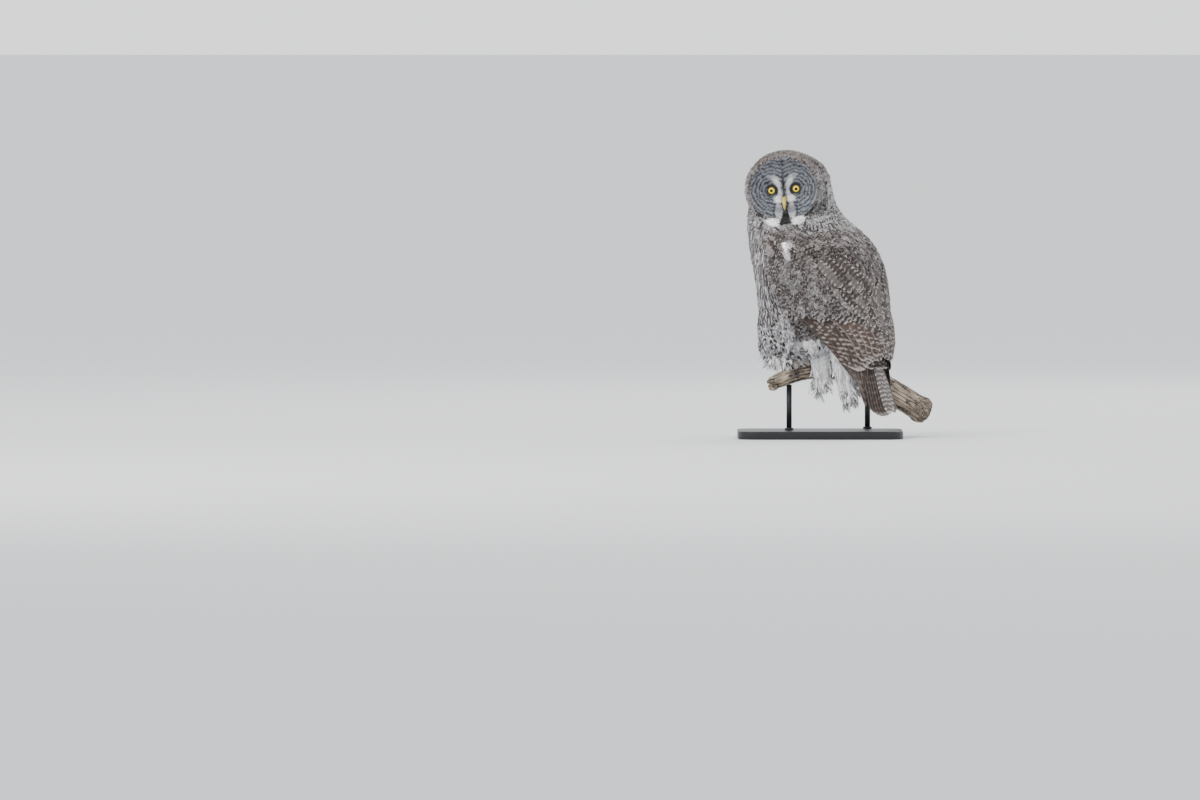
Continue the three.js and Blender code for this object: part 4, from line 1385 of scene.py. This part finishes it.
@dataclass
class LongFeathers:
    """The wings' and the tail's long feathers, vane by vane in their tiers."""

    rows: int = 44
    columns: int = 7
    bar: float = 11.0
    root_depth: float = 5.0
    tail_top: float = 215.0
    tail_half: float = 15.8
    thickness: float = 0.0003
    wing_tip: float = 0.72
    tail_tip: float = 0.86
    covered: float = 0.4
    camber: float = 0.5
    tip_lift: float = 0.9

    def wing_grid(self, side: Side, vane: Vane) -> np.ndarray:
        """The grid of points of one wing feather.

        Args:
            side: which wing.
            vane: the feather.

        Returns:
            Points in bird millimetres by row and column.
        """
        t = np.linspace(0, 1, self.rows)

        def centre(u: np.ndarray) -> tuple[np.ndarray, np.ndarray]:
            """Angle and height along the feather's shaft."""
            level = vane.start[0] + (vane.end[0] - vane.start[0]) * u
            front, back = wing_edges(level)
            return front + (back - front) * (vane.start[1] + (vane.end[1] - vane.start[1]) * u), level

        angle, level = centre(t)
        angle_on, level_on = centre(t + 0.02)
        zero = np.zeros_like(t)
        degree = wing_point(Side.LEFT, angle + 1, level, zero) - wing_point(Side.LEFT, angle, level, zero)
        step = np.linalg.norm(degree, axis=1)
        along = unit(np.stack([(angle_on - angle) * step, level_on - level], 1))
        across = np.linspace(-1, 1, self.columns)
        tip = np.clip((t - self.wing_tip) / (1 - self.wing_tip), 0, 1)
        taper = (0.8 + 0.2 * np.clip(t / self.covered, 0, 1)) * np.sqrt(np.clip(1 - tip ** 2.6, 0.02, 1))
        reach = across[None] * (taper * vane.width / 2)[:, None]
        a = angle[:, None] - along[:, 1:2] * reach / step[:, None]
        z = level[:, None] + along[:, 0:1] * reach
        buried = self.root_depth * np.clip(1 - t[:, None] / self.covered, 0, 1)
        out = vane.height + self.camber * (1 - across ** 2)[None] - buried
        return wing_point(side, a, z, out + self.tip_lift * smooth(0.85, 0.95, t[:, None]))

    def shoulder(self, level: float, u: float) -> float:
        """How far across the wing a shoulder feather is.

        Args:
            level: the height in bird millimetres.
            u: its place from the outer feathers, 0, to the inner ones, 1.

        Returns:
            The share from the wing's front edge to its back edge.
        """
        rise = (level - 172) / 140
        outer, inner = 0.9 + 0.14 * rise, 1.08 + 0.5 * rise
        return outer + (inner - outer) * u

    def tail_grid(self, side: Side, order: int, covert: bool = False) -> np.ndarray:
        """The grid of points of one tail feather.

        Args:
            side: which half of the tail.
            order: the feather's place in it, 0 in the middle.
            covert: a short covert over the feather instead of the feather.

        Returns:
            Points in bird millimetres by row and column.
        """
        tips, rise = (7, 14, 21, 27, 33, 38), (4, 1, 0, 0, 2, 6)
        left = side is Side.LEFT
        if covert:
            bottom, under = 140 + 7 * (order % 3), -1.0 - 0.7 * (3 - order) - (0.35 if left else 0)
        else:
            bottom, under = 47 + rise[order] + (0 if left else 6), 0.3 + 1.8 * (order + (0 if left else 0.5))
        t = np.linspace(0, 1, self.rows)
        level = self.tail_top + (bottom - self.tail_top) * t
        share = (250 - level) / 204
        x, swing = -99 - 77 * share, 8 * share ** 2
        middle = side.value * (3 * (order + 1) + (tips[order] - 3 * (order + 1)) * t)
        across = np.linspace(-1, 1, self.columns)
        tip = np.clip((t - self.tail_tip) / (1 - self.tail_tip), 0, 1)
        taper = np.interp(t, [0, 0.4, 0.75, 1], [0.5, 0.85, 1, 1]) * np.sqrt(np.clip(1 - tip ** 2.4, 0.03, 1))
        y = middle[:, None] + across[None] * (taper * self.tail_half)[:, None]
        depth = x[:, None] + 0.0025 * y ** 2 + under - self.camber * (1 - across ** 2)[None]
        return np.stack([depth, y + swing[:, None], level[:, None] + 0 * y], -1)

    def scapular(self, side: Side, row: int, i: int) -> Vane:
        """One of the shoulder's shingled feathers.

        Args:
            side: which wing.
            row: its row, 0 the lowest.
            i: its place in the row.

        Returns:
            The feather, its place and tone a little off the row's.
        """
        u = (i + 0.5 * (row % 2) + 0.3 * math.sin(5.3 * i + 2.9 * row)) / 6.5
        low = 166 + 17 * row + 9 * math.sin(2.3 * i + 1.7 * row + 1.9 * side.value)
        share = 0.9 + 0.12 * math.sin(4.7 * i + 1.3 * row)
        look = Look(
            SCAPULAR.tone * (1 + 0.12 * math.sin(3.1 * i + 2.1 * row + side.value)), 0.0,
            SCAPULAR.tip * share, SCAPULAR.side, tuple(min(1.0, mark * share) for mark in SCAPULAR.marks),
        )
        start, end = ((level, self.shoulder(level, u)) for level in (low + 50, low))
        return Vane(start, end, 21, 0.3 + 0.35 * row + 0.1 * i, look)

    def wing_vanes(self, side: Side) -> list[Vane]:
        """Lay out one wing.

        Args:
            side: which wing.

        Returns:
            All its feathers, the lowest layer first.
        """
        vanes = []
        lower = 14 if side is Side.RIGHT else 0
        for i, tip in enumerate((110, 88, 72, 66, 68, 80, 98)):
            u = i / 6
            end = tip + lower, 0.1 + 0.74 * u
            vanes.append(Vane((286, 0.05 + 0.12 * u), end, 18, -12.6 + 0.8 * i, PRIMARY))
        for i in range(10):
            u = i / 9
            end = 146 - 10 * math.sin(math.pi * min(1, u * 1.3)) + 26 * max(0, u - 0.6), 0.16 + 0.78 * u
            vanes.append(Vane((282, 0.14 + 0.72 * u), end, 25, -7.0 + 0.55 * i, SECONDARY))
        for i in range(11):
            u = i / 10
            end, height = (240 - 14 * u + 5 * (i % 3), 0.06 + 0.9 * u), -1.6 + 0.6 * (i % 2) + 0.08 * i
            vanes.append(Vane((284, 0.05 + 0.85 * u), end, 25, height, ROW))
        for i in range(5):
            u = i / 4
            end = 156 + 12 * u, 0.62 + 0.38 * u
            vanes.append(Vane((266 - 6 * u, 0.52 + 0.42 * u), end, 27, -0.9 + 0.6 * i, TERTIAL))
        return vanes + [self.scapular(side, row, i) for row in range(9) for i in range(7)]

    def from_root(self, grid: np.ndarray) -> np.ndarray:
        """How far along its shaft each point of a feather's grid is, in millimetres."""
        return np.linalg.norm(grid[:1, 3] - grid[:, 3], axis=1).repeat(self.columns)

    def barred(self, grid: np.ndarray, look: Look, vane: np.ndarray) -> np.ndarray:
        """A long feather's colours: pale bars an even way apart, a pale tip and edges, and painted shade in the
        crease between the wings' shoulders.

        Args:
            grid: its points in bird millimetres.
            look: its marking.
            vane: each point's place on the vane.

        Returns:
            One linear colour a point.
        """
        flat = grid.reshape(-1, 3)
        off = np.abs(vane[:, 0] - 0.5)
        bend = 2.2 * wobble(flat, 9, 2) + 1.0 * wobble(flat, 3.4, 5) + 5 * off
        wave = np.cos((self.from_root(grid) + bend) * 2 * math.pi / self.bar)
        bars = smooth(0.6, 0.9, wave) * look.bars * (0.85 + 0.3 * wobble(flat, 6, 6))
        bars = np.clip(bars * smooth(0.0, 0.04, off), 0, 1)
        colour = mix(np.tile(look.tone, (len(flat), 1)), COLOURS.pale_bar, bars)
        edge = smooth(0.43, 0.5, off) * look.side + smooth(0.945, 0.98, vane[:, 1]) * look.tip
        colour = mix(colour, COLOURS.pale_edge, np.clip(edge * (0.8 + 0.4 * wobble(flat, 4, 8)), 0, 0.9))
        # painted shade: black mixed into the crease between the wings' shoulders
        colour = mix(colour, COLOURS.black, crease_shade_share(flat) * 0.9)
        return colour * (1 + 0.1 * wobble(flat, 14, 1))[:, None]

    def feathers(self) -> dict[str, list[tuple[np.ndarray, Look]]]:
        """Lay out both wings and the tail.

        Returns:
            Every long feather's grid and look, by the name of its piece.
        """
        sets = {
            f"wing_feathers_{side.name.lower()}": [
                (self.wing_grid(side, vane), vane.look) for vane in self.wing_vanes(side)
            ] for side in Side
        }
        tail = sets["tail_feathers"] = []
        for side in Side:
            tail += [(self.tail_grid(side, order), RECTRIX if order else CENTRAL) for order in range(6)]
            tail += [(self.tail_grid(side, order, covert=True), SCAPULAR) for order in range(4)]
        return sets

    def build(self, material: bpy.types.Material) -> None:
        """Make both wings' feathers and the tail's, one piece each.

        Args:
            material: the long feathers' material.
        """
        quads, vane = vane_grid(np.linspace(0, 1, self.columns), np.linspace(0, 1, self.rows))
        before_tip = 1 - smooth(0.955, 0.985, vane[:, 1])[:, None]
        for name, items in self.feathers().items():
            count = len(items)
            grids = np.array([grid for grid, _ in items]).reshape(-1, 3)
            made = piece(name, grids @ BIRD_TURN.T * MM, repeated(quads, count, len(vane)))
            if name.endswith("right"):
                made.data.flip_normals()
            phase = np.random.default_rng(count).uniform(0, 30, count)
            run = np.concatenate([self.from_root(grid) + shift for (grid, _), shift in zip(items, phase)])
            place = np.tile(vane, (count, 1))
            patch = np.stack([(np.arange(count) + 0.5) / count, np.full(count, 0.5)], 1)
            paint(
                made,
                np.concatenate([self.barred(grid, look, vane) for grid, look in items]),
                np.concatenate([np.array(look.marks)[None] * before_tip for _, look in items]),
                np.stack([place[:, 0], run / 100], 1),
                np.repeat(patch, len(vane), 0) + (place - 0.5) * np.array([0.8 / count, 0.9]),
            )
            solid = made.modifiers.new("thickness", "SOLIDIFY")
            solid.thickness, solid.offset = self.thickness, 0
            dress(made, material)


# Eyes, bill, feet, branch and stand


@dataclass
class Face:
    """Eyes with their lids, and the bill. Sizes in millimetres in the head's frame."""

    radius: float = 11.3
    segments: tuple[int, int] = (48, 32)
    out: float = 33.5
    splay: float = math.radians(4)
    cornea: float = 7.4
    bulge: float = 0.8
    opening: float = 7.55
    lid_steps: tuple[int, int] = (48, 10)
    bill_top: float = -14.0
    bill_slim: tuple[float, float] = (0.78, 0.84)

    def seat(self, made: bpy.types.Object, side: Side) -> None:
        """Move a shape from the origin, its gaze along X, to its eye's place."""
        place = HEAD @ Matrix.Translation((self.out, side.value * EYE_APART, EYE_UP))
        place = place @ Matrix.Rotation(side.value * self.splay, 4, "Z")
        made.data.transform(Matrix.Scale(MM, 4) @ place)

    def eye(self, side: Side, material: bpy.types.Material) -> None:
        """Make one eyeball, its cornea standing out.

        Args:
            side: which eye.
            material: the eye's material, which reads the distance from the gaze's axis.
        """
        shape = bmesh.new()
        around, along = self.segments
        bmesh.ops.create_uvsphere(shape, u_segments=around, v_segments=along, radius=self.radius)
        bmesh.ops.rotate(shape, verts=shape.verts, matrix=Matrix.Rotation(math.pi / 2, 3, "Y"))
        for v in shape.verts:
            off = math.hypot(v.co.y, v.co.z)
            if v.co.x > 0 and off < self.cornea:
                v.co.x += self.bulge * (1 - (off / self.cornea) ** 2)
        node = f"eye_{side.name.lower()}"
        made = from_bmesh(node + "_ball", shape)
        points = coords(made)
        off_axis = np.where(points[:, 0] > 0, np.hypot(points[:, 1], points[:, 2]), self.radius)
        layer = made.data.attributes.new("off_axis", "FLOAT", "POINT")
        layer.data.foreach_set("value", off_axis.astype(np.float32))
        self.seat(made, side)
        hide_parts(node)
        dress(made, material)

    def lid(self, side: Side, material: bpy.types.Material) -> None:
        """Make the dark rim of the lids, thicker above and inside.

        Args:
            side: which eye's.
            material: the lids' material.
        """
        shape = bmesh.new()
        around, section = self.lid_steps
        ring = []
        for i in range(around):
            angle = 2 * math.pi * i / around
            thick = 1.0 + 0.8 * max(0.0, math.sin(angle - side.value * 0.6))
            radius = self.opening + thick * 0.45
            middle = math.sqrt(max(self.radius ** 2 - radius ** 2, 0)) + 0.7
            ring.append([])
            for j in range(section):
                turn = 2 * math.pi * j / section
                r, x = radius + thick * 0.75 * math.cos(turn), middle + 0.85 * math.sin(turn)
                ring[-1].append(shape.verts.new((x, r * math.cos(angle), r * math.sin(angle) * 0.96)))
        for a, b in zip(ring, ring[1:] + ring[:1]):
            for j in range(section):
                shape.faces.new((a[j], b[j], b[(j + 1) % section], a[(j + 1) % section]))
        made = from_bmesh(f"lid_{side.name.lower()}", shape)
        self.seat(made, side)
        dress(made, material)

    def build(self, eye: bpy.types.Material, lid: bpy.types.Material, bill: bpy.types.Material) -> None:
        """Make the eyes, their lids and the bill.

        Args:
            eye: the eyes' material.
            lid: the lids' material.
            bill: the bill's material.
        """
        for side in Side:
            self.eye(side, eye)
            self.lid(side, lid)
        root = HEAD @ Matrix.Translation((0, 0, self.bill_top))
        slim = root @ Matrix.Diagonal((1, *self.bill_slim, 1)) @ root.inverted()
        for node in ("bill_upper", "bill_lower"):
            made = rounded(node + "_horn", node)
            made.data.transform(Matrix.Scale(MM, 4) @ slim @ Matrix.Scale(1 / MM, 4))
            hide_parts(node)
            dress(made, bill)


@dataclass
class Feet:
    """Feathered toes and black claws that grip the branch."""

    seed: int = 11

    def fledge(self, plume: bpy.types.Material) -> None:
        """Lay the toes' small feathers.

        Args:
            plume: their material.
        """
        shape = rounded("toe_shape", "foot_left", "foot_right")
        surface = BVHTree.FromObject(shape, bpy.context.evaluated_depsgraph_get())
        down = Plumage(Skin(surface=surface, body=shape))
        rng = np.random.default_rng(self.seed)
        down.lay(TOE_COAT, down.candidates(rng), rng)
        bpy.data.objects.remove(shape)
        for made in down.made:
            dress(made, plume)

    def build(self, skin: bpy.types.Material, claw: bpy.types.Material, plume: bpy.types.Material) -> None:
        """Round off the solids' feet and claws, and feather the toes.

        Args:
            skin: the material of the toes under their feathers.
            claw: the claws' material.
            plume: the toe feathers' material.
        """
        self.fledge(plume)
        for side in ("left", "right"):
            foot = rounded(f"toes_{side}", f"foot_{side}")
            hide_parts(f"foot_{side}")
            dress(foot, skin)
            for i in range(1, 5):
                node = f"claw_{side}_{i}"
                made = rounded(node + "_horn", node)
                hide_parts(node)
                dress(made, claw)


@dataclass
class Perch:
    """The branch, with its grain along it and its surface broken up. Sizes in millimetres."""

    cuts: int = 3
    rough: float = 1.1
    slant: float = math.radians(30)
    lane: tuple[tuple[float, float], ...] = (
        (-97, 110), (-70, 122), (-40, 132.5), (-10, 138), (40, 135), (100, 117), (157, 82), (212, 48),
    )

    def roughen(self, made: bpy.types.Object) -> None:
        """Refine the solid's mesh and break its surface up, inwards only.

        Args:
            made: the branch.
        """
        shape = bmesh.new()
        shape.from_mesh(made.data)
        bmesh.ops.subdivide_edges(shape, edges=shape.edges, cuts=self.cuts, use_grid_fill=True, smooth=0.6)
        bmesh.ops.recalc_face_normals(shape, faces=shape.faces)
        shape.normal_update()
        for v in shape.verts:
            p = np.array(v.co) * 1000
            rough = wobble(p * [0.35, 0.35, 1.2], 5.0) + 0.5 * wobble(p * [0.5, 0.5, 1.5], 2.2, 4)
            v.co -= v.normal * max(0.0, rough) * self.rough * MM
        shape.to_mesh(made.data)
        shape.free()

    def grain(self, points: np.ndarray) -> np.ndarray:
        """The wood's own map.

        Args:
            points: the branch's points in millimetres.

        Returns:
            Along the branch and folded round it, and on the sawn end rings round the core.
        """
        at, height = np.array(self.lane).T
        x = points[:, 0]
        up = points[:, 2] - np.interp(x, at, height)
        across = (points[:, 1] - (10 + (x + 15) * math.tan(self.slant))) * 0.87
        folded = np.abs((np.arctan2(up, across) / (2 * math.pi)) % 1.0 - 0.5) * 2
        from_core = np.hypot(up, across)
        thick = np.interp(x, at, [from_core[np.abs(x - place) < 14].max() for place in at])
        end = smooth(at[-1] - 12, at[-1] - 7, x) * smooth(0.96, 0.86, from_core / thick)
        return np.stack([(x / 150 + 2) * (1 - end), folded * (1 - end) + end * from_core / 70], 1)

    def build(self, material: bpy.types.Material) -> None:
        """Make the branch from its solid.

        Args:
            material: the wood.
        """
        made = from_bmesh("branch_wood", from_nodes("perch_branch"))
        self.roughen(made)
        set_map(made, "grain", self.grain(coords(made) * 1000))
        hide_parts("perch_branch")
        dress(made, material)


@dataclass
class Stand:
    """The flat base and its two rods, finer than the solids. Sizes in metres."""

    corner: float = 0.04
    edge: float = 0.002
    rod: float = 0.0055
    rod_gap: float = 0.002
    collar: tuple[float, float, float] = (0.0095, 0.0085, 0.004)

    def base(self, material: bpy.types.Material) -> None:
        """Make the base: a plate with round corners and a softened edge.

        Args:
            material: the stand's material.
        """
        low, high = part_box("stand_base")
        shape = bmesh.new()
        bmesh.ops.create_cube(shape, size=1.0)
        bmesh.ops.scale(shape, verts=shape.verts, vec=high - low)
        bmesh.ops.translate(shape, verts=shape.verts, vec=(high + low) / 2)
        even = {"affect": "EDGES", "profile": 0.5, "material": -1}
        uprights = [e for e in shape.edges if abs(e.verts[0].co.z - e.verts[1].co.z) > 0.01]
        bmesh.ops.bevel(shape, geom=uprights, offset=self.corner, segments=16, **even)
        rim = []
        for e in shape.edges:
            if abs(e.verts[0].co.z - e.verts[1].co.z) < 1e-5 and len(e.link_faces) == 2:
                one, other = (face.normal.z for face in e.link_faces)
                if abs(one) + abs(other) > 0.9 and abs(one + other) < 1.5:
                    rim.append(e)
        bmesh.ops.bevel(shape, geom=rim, offset=self.edge, segments=3, **even)
        made = from_bmesh("stand_plate", shape)
        shade_flat_tops(made, 0.99)
        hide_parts("stand_base")
        dress(made, material)

    def post(self, i: int, material: bpy.types.Material) -> None:
        """Make one round rod with a small collar at its foot.

        Args:
            i: the rod's number.
            material: the stand's material.
        """
        low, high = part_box(f"stand_rod_{i}")
        middle, height = (low + high) / 2, high.z - low.z - self.rod_gap
        foot, top, tall = self.collar
        shape = bmesh.new()
        for radius1, radius2, depth, level in (
            (self.rod, self.rod, height, low.z + height / 2), (foot, top, tall, low.z + 0.0025),
        ):
            cone = bmesh.ops.create_cone(
                shape, cap_ends=True, segments=40, radius1=radius1, radius2=radius2, depth=depth)
            bmesh.ops.translate(shape, verts=cone["verts"], vec=(middle.x, middle.y, level))
        made = from_bmesh(f"stand_post_{i}", shape)
        shade_flat_tops(made, 0.9)
        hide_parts(f"stand_rod_{i}")
        dress(made, material)

    def build(self, material: bpy.types.Material) -> None:
        """Make the base and both rods."""
        self.base(material)
        for i in (1, 2):
            self.post(i, material)


# Stage


@dataclass
class Studio:
    """Floor, light and the camera at the photo's place. Sizes in metres."""

    lens: float = 500.0
    sensor: float = 36.0
    frame_width: float = 2.4
    aim: Vector = field(default_factory=lambda: Vector((-0.440, 0.0, 0.076)))
    rise: float = math.radians(1.5)
    lit: Vector = field(default_factory=lambda: Vector((0, 0, 0.35)))
    floor_tone: tuple[float, ...] = (0.66, 0.665, 0.675, 1)
    sky_tone: tuple[float, ...] = (0.90, 0.91, 0.93, 1)
    sky_power: float = 1.75
    floor_half: float = 140.0
    floor_gap: float = 0.0002
    clip: tuple[float, float] = (1.0, 400.0)

    def floor(self) -> None:
        """A wide pale floor just under the base."""
        shape = bmesh.new()
        bmesh.ops.create_grid(shape, x_segments=1, y_segments=1, size=self.floor_half)
        bmesh.ops.translate(shape, verts=shape.verts, vec=(0, 0, -self.floor_gap))
        made = from_bmesh("floor", shape)
        if made.data.polygons[0].normal.z < 0:
            made.data.flip_normals()
        material, _, shader = Finish("floor_paint", roughness=0.9).start()
        shader.inputs["Base Color"].default_value = self.floor_tone
        made.data.materials.append(material)

    def light(self, name: str, place: Vector, size: float, power: float) -> None:
        """Put up one soft square light, aimed at the bird.

        Args:
            name: the light's name.
            place: where it stands.
            size: the length of its side.
            power: its power in watts.
        """
        lamp = bpy.data.lights.new(name, "AREA")
        lamp.size, lamp.energy = size, power
        made = put(name, lamp)
        made.location = place
        made.rotation_euler = (self.lit - place).to_track_quat("-Z", "Y").to_euler()

    def camera(self) -> None:
        """A long lens, level with the bird, with the photo's framing."""
        data = bpy.data.cameras.new("view")
        data.lens, data.sensor_width = self.lens, self.sensor
        data.clip_start, data.clip_end = self.clip
        far = self.frame_width * self.lens / self.sensor
        offset = Vector((0, -math.cos(self.rise), math.sin(self.rise))) * far
        made = put("view", data)
        made.location = self.aim + offset
        made.rotation_euler = (-offset).to_track_quat("-Z", "Y").to_euler()
        bpy.context.scene.camera = made

    def build(self) -> None:
        """Everything round the object."""
        self.floor()
        world = bpy.data.worlds.new("sky")
        world.use_nodes = True
        sky = world.node_tree.nodes["Background"].inputs
        sky[0].default_value, sky[1].default_value = self.sky_tone, self.sky_power
        bpy.context.scene.world = world
        self.light("key", Vector((-2.6, -3.4, 4.2)), 2.6, 230)
        self.light("back", Vector((1.6, 3.4, 3.4)), 2.6, 90)
        self.camera()


PLUME = PlumeFinish("plume", roughness=0.78, sheen=0.15)
LONG_PLUME = PlumeFinish("flight_plume", roughness=0.68, bar_count=11.0, broken=2.8)
EYE_GLASS = EyeFinish("eye_glass", roughness=0.16, coat=0.02)
LID = HornFinish("lid_dark", roughness=0.55, tone=(0.012, 0.011, 0.011), other=(0.03, 0.027, 0.026))
BILL = HornFinish(
    "bill_horn", roughness=0.35, coat=0.2, tone=tuple(srgb(188, 164, 54)), other=tuple(srgb(206, 186, 84)))
TOES = HornFinish("toe_down", roughness=0.9, tone=(0.42, 0.39, 0.35), other=(0.24, 0.21, 0.18), grain=400)
CLAW = HornFinish(
    "claw_horn", roughness=0.3, coat=0.3, tone=(0.012, 0.011, 0.010), other=(0.03, 0.026, 0.024))
WOOD = WoodFinish("dead_wood", roughness=0.85)
PAINT = HornFinish(
    "stand_paint", roughness=0.42, tone=(0.014, 0.014, 0.015), other=(0.020, 0.020, 0.022), grain=600)


def main() -> None:
    """Build the stage and every piece in order."""
    logging.basicConfig(level=logging.INFO, format="%(message)s")
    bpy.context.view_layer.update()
    Studio().build()
    plume = PLUME.make()
    skin = Skin()
    skin.build()
    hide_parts("head", "neck", "torso", "leg_left", "leg_right")
    Plumage(skin).build(plume)
    dress(skin.body, plume)
    LongFeathers().build(LONG_PLUME.make())
    for node, made in (
        ("wing_left", "wing_feathers_left"), ("wing_right", "wing_feathers_right"), ("tail", "tail_feathers"),
    ):
        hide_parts(node)
    Face().build(EYE_GLASS.make(), LID.make(), BILL.make())
    Feet().build(TOES.make(), CLAW.make(), plume)
    Perch().build(WOOD.make())
    Stand().build(PAINT.make())


if __name__ == "__main__":
    main()
